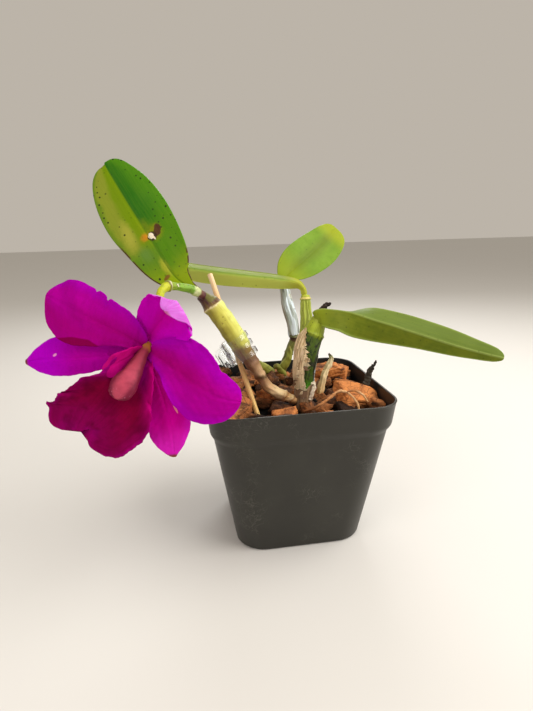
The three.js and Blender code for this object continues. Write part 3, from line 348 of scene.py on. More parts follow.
# ---------------------------------------------------------------- meshes and pieces
def mesh_from(name, points, polygons, chart=None, readings=None):
    """A mesh in metres from points in mm and lists of equal-sized polygons, turned to face outwards.

    The signed volume is a sixth of the sum of a . (b x c) over the triangles; if it is negative, every
    polygon is reversed. chart holds one UV pair for each corner, in metres.
    """
    volume = 0.0
    for faces in polygons:
        for k in range(1, faces.shape[1] - 1):
            a, b, c = points[faces[:, 0]], points[faces[:, k]], points[faces[:, k + 1]]
            volume += np.einsum("ij,ij->", a, np.cross(b, c))
    if volume < 0:
        polygons = [faces[:, ::-1] for faces in polygons]
        chart = None if chart is None else [part[:, ::-1] for part in chart]
    mesh = bpy.data.meshes.new(name)
    mesh.vertices.add(len(points))
    mesh.vertices.foreach_set("co", (points * MM).astype(np.float32).ravel())
    totals = np.concatenate([np.full(len(faces), faces.shape[1]) for faces in polygons])
    mesh.loops.add(int(totals.sum()))
    mesh.loops.foreach_set("vertex_index", np.concatenate([f.ravel() for f in polygons]).astype(np.int32))
    mesh.polygons.add(len(totals))
    mesh.polygons.foreach_set("loop_start", (np.cumsum(totals) - totals).astype(np.int32))
    mesh.polygons.foreach_set("use_smooth", np.ones(len(totals), bool))
    if chart is not None:
        layer = mesh.uv_layers.new(name=CHART)
        flat = np.concatenate([part.reshape(-1, 2) for part in chart]) * MM
        layer.data.foreach_set("uv", flat.astype(np.float32).ravel())
    for key, values in (readings or {}).items():
        layer = mesh.attributes.new(key, "FLOAT", "POINT")
        layer.data.foreach_set("value", np.asarray(values, np.float32))
    mesh.update(calc_edges=True)
    mesh.validate()
    return mesh


class Skin:
    """A closed skin over rings of points, with a pole at each end, and readings at each point."""

    def __init__(self, rings, chart, **readings):
        rows, around = rings.shape[:2]
        self.points = np.concatenate([rings.reshape(-1, 3), rings[:1].mean(1), rings[-1:].mean(1)])
        i, j = [g.ravel() for g in np.meshgrid(np.arange(rows - 1), np.arange(around), indexing="ij")]
        k = (j + 1) % around
        quads = np.stack([i * around + j, i * around + k, (i + 1) * around + k, (i + 1) * around + j], -1)
        wide = around + 1
        corner = np.stack([i * wide + j, i * wide + j + 1, (i + 1) * wide + j + 1, (i + 1) * wide + j], -1)
        j = np.arange(around)
        k = (j + 1) % around
        near = np.full(around, rows * around)
        last = (rows - 1) * around
        tips = np.concatenate([np.stack([near, k, j], -1), np.stack([near + 1, last + j, last + k], -1)])
        flat = chart.reshape(-1, 2)
        first, end = chart[:1].mean(1), chart[-1:].mean(1)
        edge = (rows - 1) * wide
        tip_chart = np.concatenate([
            np.stack([np.repeat(first, around, 0), flat[j + 1], flat[j]], 1),
            np.stack([np.repeat(end, around, 0), flat[edge + j], flat[edge + j + 1]], 1),
        ])
        self.polygons = [quads, tips]
        self.chart = [flat[corner], tip_chart]
        self.readings = {
            key: np.concatenate([v.reshape(-1), v[:1].mean(1), v[-1:].mean(1)]) for key, v in readings.items()
        }


def fused(name, skins):
    """One mesh of several skins."""
    offsets = np.cumsum([0] + [len(skin.points) for skin in skins[:-1]])
    polygons = [
        np.concatenate([skin.polygons[k] + off for skin, off in zip(skins, offsets)]) for k in range(2)
    ]
    chart = [np.concatenate([skin.chart[k] for skin in skins]) for k in range(2)]
    points = np.concatenate([skin.points for skin in skins])
    readings = {
        key: np.concatenate([skin.readings[key] for skin in skins]) for key in skins[0].readings
    }
    return mesh_from(name, points, polygons, chart, readings)


def piece(name, mesh, material, stands_for=(), body=PLANT):
    """Puts a mesh into the scene as a piece that rides on a body and stands for the named solids."""
    thing = bpy.data.objects.new(name, mesh)
    bpy.context.scene.collection.objects.link(thing)
    if material is not None:
        mesh.materials.append(material)
    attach(thing, body)
    if stands_for:
        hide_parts(*stands_for)
    return thing


def grow(node, how, skins, material):
    """Makes one piece of several skins, which stands for the solid of that name."""
    piece(f"{node}_{how}", fused(node, skins), material, [node])


def no_relief(t, angle, places):
    """A smooth surface."""
    return 0 * angle


def stem_skin(spec, sides, rows, relief=no_relief, place=None):
    """A stem round a spline, with rounded ends.

    u is the reference direction crossed with the tangent and v the tangent crossed with u. A point lies
    at a cos(angle) along u and b sin(angle) along v, where a and b are the keyed radii plus a hill at
    each node plus relief(t, angle, points). An end is closed by rings whose radius falls as a cosine and
    which stand `cap` radii out.
    """
    t = np.linspace(0, 1, rows)
    cap = np.radians([75, 50, 25])
    t_all = np.concatenate([np.zeros(3), t, np.ones(3)])
    shrink = np.concatenate([np.cos(cap), np.ones(rows), np.cos(cap[::-1])])
    push = np.concatenate([-np.sin(cap), np.zeros(rows), np.sin(cap[::-1])])
    at, slope = spline(spec["points"], t_all)
    tangent = unit(slope)
    u = unit(np.cross(np.asarray(spec.get("reference", (0, 1, 0)), float), tangent))
    v = np.cross(tangent, u)
    wide = keyed([r[0] if isinstance(r, tuple) else r for r in spec["radii"]], t_all)
    deep = keyed([r[1] if isinstance(r, tuple) else r for r in spec["radii"]], t_all)
    rise = sum(high * bump_at(t_all, where, width) for where, high, width in spec.get("nodes", [])) + 0 * t_all
    angle = np.linspace(0, 2 * math.pi, sides, endpoint=False)
    middle = at + tangent * (push * spec.get("cap", 0.375) * wide)[:, None]
    ring = (
        u[:, None] * np.cos(angle)[None, :, None] + v[:, None] * np.sin(angle)[None, :, None]
    )
    rough = middle[:, None] + ring * wide[:, None, None]
    extra = relief(t_all[:, None], angle[None, :], rough) * shrink[:, None]
    a = (wide + rise)[:, None] * shrink[:, None] + extra
    b = (deep + rise)[:, None] * shrink[:, None] + extra
    rings = (
        middle[:, None]
        + u[:, None] * (a * np.cos(angle))[..., None]
        + v[:, None] * (b * np.sin(angle))[..., None]
    )
    arc = lengths(middle)
    turn = np.linspace(0, 2 * math.pi, sides + 1) * float(wide.mean())
    chart = np.stack(np.broadcast_arrays(turn[None, :], arc[:, None]), -1)
    along = np.broadcast_to(t_all[:, None], a.shape)
    around = np.broadcast_to(angle[None, :] / (2 * math.pi), a.shape)
    if place is not None:
        rings = place(rings)
    return Skin(rings, chart, along=along, around=around)


def soft_fold(t):
    """|t| with a rounded bottom."""
    return np.sqrt(t * t + 0.04) - 0.2


def blade_skin(spec, thick, edge, rows, cols, relief, frill=(0, 0), crinkle=(0, 0), place=None):
    """A leaf, sepal, petal or lip: a spine s, a cross direction and a normal.

    A point at t from -1 to 1 across lies at spine(s) + cross * half * t, raised along the normal by
    half * dish * fold(t) + ruffle * wave(s) * t^4 * sin(pi s), and run ahead along the tangent by
    half * sweep * |t|^1.5. The two faces stand half the flesh off, which thins from the middle to the
    edges, and a half round joins them. frill waves the edge in the plane and crinkle across it, each
    as (height in mm, waves). `lobes` moves the left and the right half ahead at the tip, in mm.
    """
    phase_row = np.arange(rows + 1) / rows
    s = (1 - np.cos(math.pi * phase_row)) / 2
    at, slope = spline(spec["spine"], s)
    tangent = unit(slope)
    cross = spline(spec["side"], s)[0]
    cross = unit(cross - tangent * (cross * tangent).sum(1, keepdims=True))
    normal = np.cross(cross, tangent)
    left, right, dish, ahead = [
        keyed(spec.get(key, [0, 0]), phase_row)[:, None] for key in ("left", "right", "dish", "sweep")
    ]
    t = np.sin(np.linspace(-math.pi / 2, math.pi / 2, cols + 1))
    lap = np.radians([60, 30, 0, -30, -60])
    ones = np.ones(len(lap))
    across = np.concatenate([t, ones, t[::-1], -ones])[None, :]
    lift = np.concatenate([np.ones(cols + 1), np.sin(lap), -np.ones(cols + 1), -np.sin(lap)])[None, :]
    out = np.concatenate([0 * t, np.cos(lap), 0 * t, -np.cos(lap)])[None, :]
    waves, phase = spec.get("waves", 0), spec.get("phase", 0)
    swing = waves * 2 * math.pi * s[:, None]
    wave = np.sin(swing + phase + np.where(across > 0, 1.9, 0))
    half = np.maximum(np.where(across < 0, left, right), 0.4)
    half = half * (1 + spec.get("crimp", 0) * np.cos(waves * 5 * s[:, None]))
    for where, deep, width, side in spec.get("nicks", []):
        half = half * (1 - deep * bump_at(s[:, None], where, width) * (across * side > 0))
    ends = np.sin(math.pi * s)[:, None]
    beat = s[:, None] * 2 * math.pi + np.where(across > 0, 0.7, 0)
    margin = np.abs(across) ** 5 * ends**0.5
    frilled = frill[0] * margin * (np.sin(frill[1] * beat) + 0.6 * np.sin(2.3 * frill[1] * beat + 1))
    crinkled = crinkle[0] * margin * (np.sin(crinkle[1] * beat + 2) + 0.5 * np.sin(1.7 * crinkle[1] * beat))
    rise = half * dish * soft_fold(across) + spec.get("ruffle", 0) * wave * across**4 * ends + crinkled
    left_lobe, right_lobe = spec.get("lobes", (0, 0))
    lobe = np.where(across < 0, left_lobe, right_lobe) * ease(np.abs(across), 0, 0.2)
    lobe = lobe * ease(s, 0.93, 1)[:, None]
    run = half * ahead * np.abs(across) ** 1.5 + lobe
    if "notch" in spec:
        where, deep, width = spec["notch"]
        run = run - deep * bump_at(across, where, width) * ease(s, 0.8, 1)[:, None]
    middle = (
        at[:, None]
        + cross[:, None] * (half * across + frilled * np.sign(across))[..., None]
        + tangent[:, None] * run[..., None]
        + normal[:, None] * rise[..., None]
    )
    flesh = (edge + (thick - edge) * (1 - across**2)) / 2 * np.minimum(1, 0.35 + 6 * ends)
    raised = relief(s[:, None], across, middle)
    rings = middle + normal[:, None] * (flesh * lift + raised)[..., None]
    rings = rings + cross[:, None] * (flesh * out)[..., None]
    arc = lengths(at)[:, None]
    chart = np.stack([half * across, arc + run], -1)
    chart = np.concatenate([chart, chart[:, :1]], 1)
    if place is not None:
        rings = place(rings)
    shape = rings.shape[:2]
    return Skin(
        rings, chart,
        along=np.broadcast_to(s[:, None], shape),
        across=np.broadcast_to(across, shape),
        face=np.broadcast_to(np.sign(lift) * np.minimum(1, np.abs(lift)), shape),
    )


def husk_skin(spec, rows, cols, wrinkle, fray, seed, tear=0.07):
    """A papery sheath round a stem, between two edge angles keyed along it.

    Its radius is the stem's plus `off`, with lengthwise wrinkles of sine noise, and its ends are frayed
    by sliding them along the stem by noise of the angle. `tear` roughens the long edges, in radians.
    """
    t = np.linspace(0, 1, rows)
    at, slope = spline(spec["points"], t)
    tangent = unit(slope)
    u = unit(np.cross(np.array([0, 1.0, 0]), tangent))
    v = np.cross(tangent, u)
    radius = keyed(spec["radii"], t)[:, None] + spec["off"]
    first, last = keyed(spec["first"], t)[:, None], keyed(spec["last"], t)[:, None]
    spread = np.linspace(0, 1, cols + 1)
    lap = np.radians([45, 0, -45])
    share = np.concatenate([spread, np.ones(3), spread[::-1], np.zeros(3)])[None, :]
    lift = np.concatenate([np.ones(cols + 1), np.sin(lap), -np.ones(cols + 1), -np.sin(lap)])[None, :]
    angle = first * (1 - share) + last * share
    line = np.stack([t * 40, 0 * t, 0 * t], -1)
    ragged = (0.7 * ripple(line, 12, seed) + 0.5 * ripple(line, 3, seed + 4))[:, None] * tear
    angle = angle + ragged * np.where(share < 0.5, 1, -1) * (np.abs(share - 0.5) * 2) ** 4
    folds = ripple(np.stack(np.broadcast_arrays(angle * 9, t[:, None] * 7, 0 * angle), -1), 6, seed + 1)
    r = radius + spec["wall"] / 2 + wrinkle * folds + lift * spec["wall"] * 0.3
    slide = ripple(np.stack([angle * 5, 0 * angle, 0 * angle], -1), 5, seed + 2)
    slide = fray * slide * (ease(t, 0.7, 1) - ease(-t, -0.3, 0))[:, None]
    rings = (
        at[:, None]
        + tangent[:, None] * slide[..., None]
        + u[:, None] * (r * np.cos(angle))[..., None]
        + v[:, None] * (r * np.sin(angle))[..., None]
    )
    arc = lengths(at)[:, None]
    chart = np.stack(np.broadcast_arrays(angle * float(radius.mean()), arc), -1)
    chart = np.concatenate([chart, chart[:, :1]], 1)
    return Skin(rings, chart, along=np.broadcast_to(t[:, None], angle.shape), across=share + 0 * angle)


def flower_place():
    """Moves points from the flower's frame, X right, Y up, Z to its front, into the plant's."""
    z = unit(np.asarray(FLOWER["facing"], float))
    x = unit(np.cross([0, 0, 1.0], z))
    y = np.cross(z, x)
    return lambda points: points @ np.stack([x, y, z]) + np.asarray(FLOWER["at"], float)


# ---------------------------------------------------------------- colours and shader nodes
def paint(red, green, blue):
    """A colour from its display values of 0 to 255."""
    shares = np.array([red, green, blue]) / 255
    linear = np.where(shares <= 0.04045, shares / 12.92, ((shares + 0.055) / 1.055) ** 2.4)
    return (*[float(x) for x in linear], 1.0)


class Graph:
    """Adds nodes to a material or a node group and links them."""

    def __init__(self, tree):
        self.tree = tree

    def add(self, kind, inputs=None, **settings):
        node = self.tree.nodes.new(kind)
        for key, value in settings.items():
            setattr(node, key, value)
        for key, value in (inputs or {}).items():
            self.feed(node.inputs[key], value)
        return node

    def feed(self, socket, value):
        if isinstance(value, bpy.types.NodeSocket):
            self.tree.links.new(value, socket)
        else:
            socket.default_value = value

    def math(self, operation, *values):
        node = self.add("ShaderNodeMath", dict(enumerate(values)), operation=operation)
        return node.outputs[0]

    def plus(self, a, b):
        return self.math("ADD", a, b)

    def minus(self, a, b):
        return self.math("SUBTRACT", a, b)

    def times(self, a, b):
        return self.math("MULTIPLY", a, b)

    def absolute(self, value):
        return self.math("ABSOLUTE", value)

    def mix(self, share, a, b, blend="MIX"):
        node = self.add(
            "ShaderNodeMix", {"Factor": share}, data_type="RGBA", blend_type=blend, clamp_factor=True)
        self.feed(node.inputs[6], a)
        self.feed(node.inputs[7], b)
        return node.outputs[2]

    def lay(self, colour, over, mask, share=None):
        """Lays a colour given in display values over another where a mask says, as strongly as its share."""
        return self.mix(mask if share is None else self.times(mask, share), colour, paint(*over))

    def layers(self, colour, *others):
        """Lays several colours over one, each given as lay takes them."""
        for other in others:
            colour = self.lay(colour, *other)
        return colour

    def drift(self, vector, size, detail=3.0):
        """Cloudy noise of -0.5 to 0.5."""
        return self.minus(self.noise(vector, size, detail), 0.5)

    def fade(self, value, low, high, to_low=0.0, to_high=1.0):
        """Runs smoothly from to_low to to_high as value goes from low to high."""
        node = self.add(
            "ShaderNodeMapRange", {0: value, 1: low, 2: high, 3: to_low, 4: to_high},
            interpolation_type="SMOOTHSTEP",
        )
        return node.outputs[0]

    def bands(self, value, stops):
        """A colour that changes along value; stops are (place, red, green, blue) in display values."""
        node = self.add("ShaderNodeValToRGB", {0: value})
        ramp = node.color_ramp
        ramp.interpolation = "EASE"
        while len(ramp.elements) < len(stops):
            ramp.elements.new(1)
        for element, (place, *colour) in zip(ramp.elements, stops):
            element.position = place
            element.color = paint(*colour)
        return node.outputs[0]

    def reading(self, name):
        return self.add("ShaderNodeAttribute", attribute_name=name).outputs["Fac"]

    def parts(self, vector):
        """The X, Y and Z of a vector."""
        return self.add("ShaderNodeSeparateXYZ", {0: vector}).outputs

    def part_of(self, share, mask):
        """A mask times a share."""
        return self.times(mask, share)

    def chart(self):
        return self.add("ShaderNodeUVMap", uv_map=CHART).outputs[0]

    def object_place(self):
        return self.add("ShaderNodeTexCoord").outputs["Object"]

    def stretch(self, vector, scale, turn=(0, 0, 0)):
        return self.add("ShaderNodeMapping", {"Vector": vector, "Scale": scale, "Rotation": turn}).outputs[0]

    def noise(self, vector, size, detail=3.0, rough=0.55, warp=0.0):
        """Cloudy noise of 0 to 1 with features of that size in metres."""
        return self.add(
            "ShaderNodeTexNoise",
            {"Vector": vector, "Scale": 1 / size, "Detail": detail, "Roughness": rough, "Distortion": warp},
        ).outputs[0]

    def cells(self, vector, size, feature="F1"):
        """Distances in cells of that size in metres, to their middles or to their edges."""
        node = self.add("ShaderNodeTexVoronoi", {"Vector": vector, "Scale": 1 / size}, feature=feature)
        return node.outputs["Distance"]

    def group(self, tree, **inputs):
        node = self.add("ShaderNodeGroup", node_tree=tree)
        for key, value in inputs.items():
            self.feed(node.inputs[key.replace("_", " ").capitalize()], value)
        return node.outputs

    def bump(self, height, strength, distance):
        return self.add(
            "ShaderNodeBump", {"Strength": strength, "Distance": distance, "Height": height}).outputs[0]


def node_group(name, inputs, outputs, build):
    """A shader node group with named sockets, made once; build gets its graph and its inputs."""
    tree = bpy.data.node_groups.get(name)
    if tree:
        return tree
    tree = bpy.data.node_groups.new(name, "ShaderNodeTree")
    kinds = {"value": "NodeSocketFloat", "colour": "NodeSocketColor", "vector": "NodeSocketVector"}
    for label, kind, default in inputs:
        socket = tree.interface.new_socket(label, in_out="INPUT", socket_type=kinds[kind])
        if default is not None:
            socket.default_value = default
    for label, kind in outputs:
        tree.interface.new_socket(label, in_out="OUTPUT", socket_type=kinds[kind])
    graph = Graph(tree)
    source = tree.nodes.new("NodeGroupInput").outputs
    sink = tree.nodes.new("NodeGroupOutput").inputs
    for socket, value in zip(sink, build(graph, source)):
        graph.feed(socket, value)
    return tree


def specks_group():
    """Round specks strewn over a surface: a mask of 1 in each speck, for a share of the cells."""

    def build(g, source):
        inputs = {"Vector": source["Vector"], "Randomness": 1.0}
        node = g.add("ShaderNodeTexVoronoi", inputs, voronoi_dimensions="2D")
        g.feed(node.inputs["Scale"], g.math("DIVIDE", 1.0, source["Spacing"]))
        picked = g.add("ShaderNodeSeparateColor", {0: node.outputs["Color"]}).outputs
        size = g.times(source["Size"], g.math("MULTIPLY_ADD", picked[1], 0.8, 0.4))
        inside = g.fade(node.outputs["Distance"], size, g.times(size, 0.55), 0.0, 1.0)
        chosen = g.math("LESS_THAN", picked[0], source["Share"])
        return [g.times(inside, chosen)]

    return node_group(
        "Specks",
        [("Vector", "vector", None), ("Spacing", "value", 0.002),
         ("Size", "value", 0.2), ("Share", "value", 0.3)],
        [("Mask", "value")], build,
    )


def strewn(g, chart, spacing, size, share):
    """The mask of specks on a chart."""
    return g.group(specks_group(), vector=chart, spacing=spacing, size=size, share=share)["Mask"]


def fibrous(g, chart, spacing, wander):
    """The height of fibres along a chart."""
    return g.group(fibre_group(), vector=chart, spacing=spacing, wander=wander)["Height"]


def mottle_group():
    """Two colours mixed by soft clouds, with a finer cloud over them."""

    def build(g, source):
        coarse = g.add("ShaderNodeTexNoise", {"Vector": source["Vector"], "Detail": 3.0, "Roughness": 0.6})
        g.feed(coarse.inputs["Scale"], g.math("DIVIDE", 1.0, source["Size"]))
        fine = g.add("ShaderNodeTexNoise", {"Vector": source["Vector"], "Detail": 2.0, "Roughness": 0.5})
        g.feed(fine.inputs["Scale"], g.math("DIVIDE", 6.0, source["Size"]))
        cloud = g.plus(coarse.outputs[0], g.times(g.minus(fine.outputs[0], 0.5), 0.5))
        return [g.mix(g.fade(cloud, 0.35, 0.65), source["First"], source["Second"])]

    return node_group(
        "Mottle",
        [("Vector", "vector", None), ("Size", "value", 0.01), ("First", "colour", (0.5, 0.5, 0.5, 1)),
         ("Second", "colour", (0.2, 0.2, 0.2, 1))],
        [("Color", "colour")], build,
    )


def fibre_group():
    """Fine fibres or veins along a chart's V, wandering a little: a height of 0 to 1."""

    def build(g, source):
        warp = g.add("ShaderNodeTexNoise", {"Vector": source["Vector"], "Scale": 60.0, "Detail": 2.0})
        parts = g.add("ShaderNodeSeparateXYZ", {0: source["Vector"]}).outputs
        across = g.math("DIVIDE", parts[0], source["Spacing"])
        across = g.plus(across, g.times(warp.outputs[0], source["Wander"]))
        along = g.math("DIVIDE", parts[1], g.times(source["Spacing"], 22.0))
        place = g.add("ShaderNodeCombineXYZ", {0: across, 1: along}).outputs[0]
        noise = g.add("ShaderNodeTexNoise", {"Vector": place, "Scale": 1.0, "Detail": 3.0, "Roughness": 0.6})
        return [noise.outputs[0]]

    return node_group(
        "Fibres",
        [("Vector", "vector", None), ("Spacing", "value", 0.0008), ("Wander", "value", 0.6)],
        [("Height", "value")], build,
    )


def scuff_group():
    """Thin scratches in every direction, in patches: a mask of 0 to 1."""

    def build(g, source):
        total = None
        for angle in (0.4, 1.5, 2.4):
            place = g.stretch(source["Vector"], (1.0, 0.05, 1.0), (0.3, 0.2, angle))
            lines = g.add("ShaderNodeTexNoise", {"Vector": place, "Detail": 2.0, "Roughness": 0.4})
            g.feed(lines.inputs["Scale"], g.math("DIVIDE", 1.0, source["Size"]))
            thin = g.fade(g.absolute(g.minus(lines.outputs[0], 0.5)), 0.0, 0.012, 1.0, 0.0)
            total = thin if total is None else g.math("MAXIMUM", total, thin)
        return [g.times(total, g.fade(g.noise(source["Vector"], 0.022, 4.0), 0.5, 0.68))]

    return node_group(
        "Scuffs", [("Vector", "vector", None), ("Size", "value", 0.004)], [("Scratches", "value")], build)


def material(name, build, **constants):
    """A material whose Principled shader gets constants on its own sockets and what build links to it."""
    found = bpy.data.materials.get(name)
    if found:
        return found
    made = bpy.data.materials.new(name)
    made.use_nodes = True
    shader = made.node_tree.nodes["Principled BSDF"]
    graph = Graph(made.node_tree)
    for key, value in constants.items():
        shader.inputs[key.replace("_", " ").title().replace("Ior", "IOR")].default_value = value
    for key, value in build(graph).items():
        graph.feed(shader.inputs[key], value)
    return made


def soft_flesh(weight, *reach):
    """The constants of a shader that lets light a little way in, in metres for red, green and blue."""
    return {"subsurface_weight": weight, "subsurface_radius": reach, "subsurface_scale": 1.0}


def spot(g, chart, place, size, turn=0.0, ragged=0.35, soft=0.35):
    """A ragged spot on a chart: 1 inside, 0 outside; place and size are (u, v) in mm, turn in degrees."""
    scaled = g.add("ShaderNodeMapping", {
        "Vector": chart, "Location": (place[0] * MM, place[1] * MM, 0), "Rotation": (0, 0, math.radians(turn)),
        "Scale": (size[0] * MM, size[1] * MM, 1)}, vector_type="TEXTURE").outputs[0]
    reach = g.add("ShaderNodeVectorMath", {0: scaled}, operation="LENGTH").outputs["Value"]
    rough = g.times(g.minus(g.noise(chart, 0.0022, 4.0, 0.65), 0.5), 2 * ragged)
    return g.fade(g.plus(reach, rough), 1 - soft, 1.0, 1.0, 0.0)


# ---------------------------------------------------------------- the materials
def pot_plastic(settings):
    """Dark moulded plastic, faintly scratched, with painted shade making its inside near-black."""

    def build(g):
        place = g.object_place()
        scratches = g.group(scuff_group(), vector=place, size=0.006)["Scratches"]
        cloud = g.noise(place, 0.03, 3.0)
        body = (*settings.pot_colour, 1.0)
        colour = g.lay(body, (84, 84, 74), g.fade(cloud, 0.35, 0.75, 0.0, 0.12))
        colour = g.layers(colour,
            ((120, 118, 108), g.times(scratches, 0.22)),
            # painted shade: the walls inside the pot near-black
            ((5, 10, 16), g.reading("inside"), 0.8))
        return {"Base Color": colour, "Roughness": g.fade(cloud, 0.3, 0.7, 0.36, 0.46),
                "Normal": g.bump(g.noise(place, 0.0006, 2.0), 0.08, 0.0002)}

    return material("Pot plastic", build, specular_ior_level=0.35)


def bark_finish(name, settings, light, dark, deep):
    """Fir bark: flaky layers, dark cracks, pale flecks and a tone per chip; painted shade darkens low gaps and
    the core.
    """
    light, dark, deep = paint(*light), paint(*dark), paint(*deep)

    def build(g):
        place = g.object_place()
        tone_and_shade = g.reading("tone_and_shade")
        flakes = g.noise(g.stretch(place, (1, 1, 2.6), (0.5, 0.3, 0)), 0.009, 4.0, 0.6, 0.6)
        grit = g.noise(place, 0.0012, 3.0, 0.6)
        cracks = g.cells(g.stretch(place, (1, 1, 2), (0.4, 0.2, 0)), 0.007, "DISTANCE_TO_EDGE")
        colour = g.mix(g.fade(g.plus(flakes, g.part_of(0.24, tone_and_shade)), 0.38, 0.68), dark, light)
        colour = g.mix(g.fade(flakes, 0.42, 0.3, 0.0, 0.8), colour, deep)
        colour = g.mix(g.fade(cracks, 0.05, 0.0, 0.0, 0.5), colour, deep)
        colour = g.lay(colour, (226, 166, 104), g.fade(grit, 0.58, 0.74, 0.0, 0.4))
        # darker chips by their own tone, and painted shade over the core under the chips, whose tone is -1
        colour = g.mix(g.fade(tone_and_shade, -0.3, -0.8), colour, deep)
        # painted shade: darker below the bed's level, in the gaps between the chips, and the core near-black
        depth = g.plus(g.parts(place)[2], g.part_of(0.004, grit))
        colour = g.layers(colour,
            ((26, 20, 18), g.fade(depth, (BED["level"] + 3) * MM, (BED["level"] - 4) * MM, 0.0, 0.9)),
            ((12, 13, 16), g.fade(tone_and_shade, -0.9, -1.0)))
        height = g.plus(flakes, g.part_of(0.2, grit))
        height = g.minus(height, g.fade(cracks, 0.05, 0.0, 0.0, 0.2))
        return {
            "Base Color": colour, "Roughness": g.fade(grit, 0.3, 0.7, 0.78, 0.92),
            "Normal": g.bump(height, 0.7, settings.flake_depth),
        }

    return material(name, build, specular_ior_level=0.25)


def leaf_finish(name, front, back, marks=None, rough=(0.36, 0.48), specks=0.1, keel=None):
    """A leathery leaf: fine veins, soft clouds of two close greens, a few dark specks, its own marks and a
    painted keel highlight.
    """

    def build(g):
        chart = g.chart()
        across, side = g.reading("across"), g.reading("face")
        veins = fibrous(g, chart, 0.0009, 0.5)
        face, rear = [
            g.group(mottle_group(), vector=chart, size=0.02, first=paint(*a), second=paint(*b))["Color"]
            for a, b in (front, back)
        ]
        colour = g.mix(g.fade(side, -0.2, 0.2), rear, face)
        if marks:
            colour = marks(g, chart, across, side, colour)
        colour = g.lay(colour, (170, 185, 60), g.fade(veins, 0.4, 0.62), 0.04)
        if keel:
            # painted highlight: a pale line along the middle, where the keel catches the light
            keel_highlight = g.fade(g.absolute(g.parts(chart)[0]), 0.0009, 0.0003)
            colour = g.lay(colour, keel, keel_highlight, 0.7)
        dots = strewn(g, chart, 0.0042, 0.08, specks)
        colour = g.lay(colour, (44, 40, 18), dots, 0.7)
        pores = g.noise(chart, 0.0007, 2.0)
        height = g.plus(g.part_of(0.6, veins), g.part_of(0.4, pores))
        return {
            "Base Color": colour,
            "Roughness": g.fade(g.noise(chart, 0.01, 3.0), 0.3, 0.7, *rough),
            "Normal": g.bump(height, 0.16, 0.0003),
        }

    return material(
        name, build, specular_ior_level=0.08, **soft_flesh(0.08, 0.002, 0.003, 0.001))


def upper_left_marks(g, chart, across, side, colour):
    """Leaf A: a deep green right half, an olive left one, sun scorch, black dots and brown edges."""
    drift = g.drift(chart, 0.016, 3.0)
    place = g.plus(across, g.part_of(0.5, drift))
    u, v, _ = g.parts(chart)
    height = g.plus(v, g.part_of(0.02, drift))
    right = g.mix(g.fade(place, 0.15, 0.9), paint(42, 104, 12), paint(74, 130, 16))
    right = g.lay(right, (78, 128, 2), g.fade(height, 0.056, 0.04))
    left = g.mix(g.fade(place, -0.8, -0.98), paint(126, 138, 38), paint(96, 124, 26))
    left = g.layers(left,
        ((106, 134, 4), g.fade(place, -0.52, -0.26)),
        ((88, 126, 24), g.fade(height, 0.044, 0.032)))
    greens = g.mix(g.fade(across, -0.02, 0.03), left, right)
    greens = g.lay(greens, (134, 158, 4), g.fade(height, 0.03, 0.012))
    colour = g.mix(g.fade(side, -0.2, 0.2), colour, greens)
    for at, size, turn, soft, tint, strength in (
        ((-9.4, 50), (5, 14), -6, 0.9, (160, 160, 58), 0.85), ((-6.5, 35), (5, 7), 0, 0.9, (92, 128, 54), 0.7),
        ((-1.2, 24), (3, 8), 0, 0.8, (156, 160, 44), 0.85), ((0.5, 49), (5, 9), 0, 0.9, (118, 136, 14), 0.7),
        ((-2.0, 44.2), (4.4, 3.4), 30, 0.9, (196, 122, 30), 0.85),
        ((4.4, 43.6), (5.8, 6.4), -30, 0.7, (136, 134, 8), 0.75),
        ((6.0, 43.9), (2.3, 3.9), -30, 0.25, (78, 40, 28), 0.97),
        ((1.7, 42.4), (3.0, 2.9), 30, 0.25, (60, 38, 24), 0.95),
        ((1.2, 43.1), (1.7, 2.1), 20, 0.2, (250, 236, 214), 1.0),
        ((2.2, 41.2), (0.6, 1.7), 10, 0.3, (246, 230, 204), 0.95),
        ((-3.6, 18.5), (2.4, 1.3), 10, 0.4, (112, 62, 34), 0.85),
    ):
        colour = g.lay(colour, tint, spot(g, chart, at, size, turn, 0.3, soft), strength)
    edge = g.absolute(across)
    low = g.math("MAXIMUM", g.times(g.fade(across, 0.0, -0.2), g.fade(v, 0.052, 0.042)), g.fade(v, 0.03, 0.022))
    low = g.times(low, g.fade(g.noise(chart, 0.004, 2.0), 0.36, 0.46))
    colour = g.lay(colour, (70, 40, 24), g.times(g.fade(edge, 0.95, 0.99), low))
    dots = strewn(g, chart, 0.004, 0.16, 0.5)
    near = g.plus(0.3, g.fade(edge, 0.3, 0.7, 0.0, 0.7))
    colour = g.lay(colour, (24, 36, 16), g.times(dots, near))
    groove = g.fade(g.absolute(u), 0.0005, 0.0001)
    return g.lay(colour, (78, 124, 18), groove, 0.5)


def right_leaf_marks(g, chart, across, side, colour):
    """Leaf B: olive below its keel and greener above it, painted light and shade of its two halves; yellow-green
    at its start.
    """
    # painted light: the upper half, which faces the light, lighter and greener than the lower
    upper = g.fade(g.plus(across, g.part_of(0.1, g.noise(chart, 0.01))), -0.02, 0.14)
    colour = g.lay(colour, (98, 118, 48), upper, 0.85)
    rim = g.fade(g.absolute(across), 0.94, 1.0)
    colour = g.lay(colour, (140, 158, 76), rim, 0.5)
    return g.lay(colour, (120, 132, 26), g.fade(g.parts(chart)[1], 0.012, 0.003, 0.0, 0.8))


def long_leaf_marks(g, chart, across, side, colour):
    """Leaf C: a darker upper strip and a paler lower one, painted shade and light either side of a fold; a
    yellowish stalk.
    """
    v = g.parts(chart)[1]
    # painted light on the lower strip, painted shade on the upper strip and a dark line of painted shade in the
    # fold
    return g.layers(colour,
        ((196, 206, 98), g.fade(across, 0.2, -0.3), 0.9),
        ((116, 130, 38), g.fade(across, 0.2, 0.5), 0.9),
        ((86, 104, 40), g.fade(g.absolute(g.minus(across, 0.22)), 0.06, 0.01), 0.5),
        ((164, 166, 52), g.fade(v, 0.02, 0.006, 0.0, 0.85)))


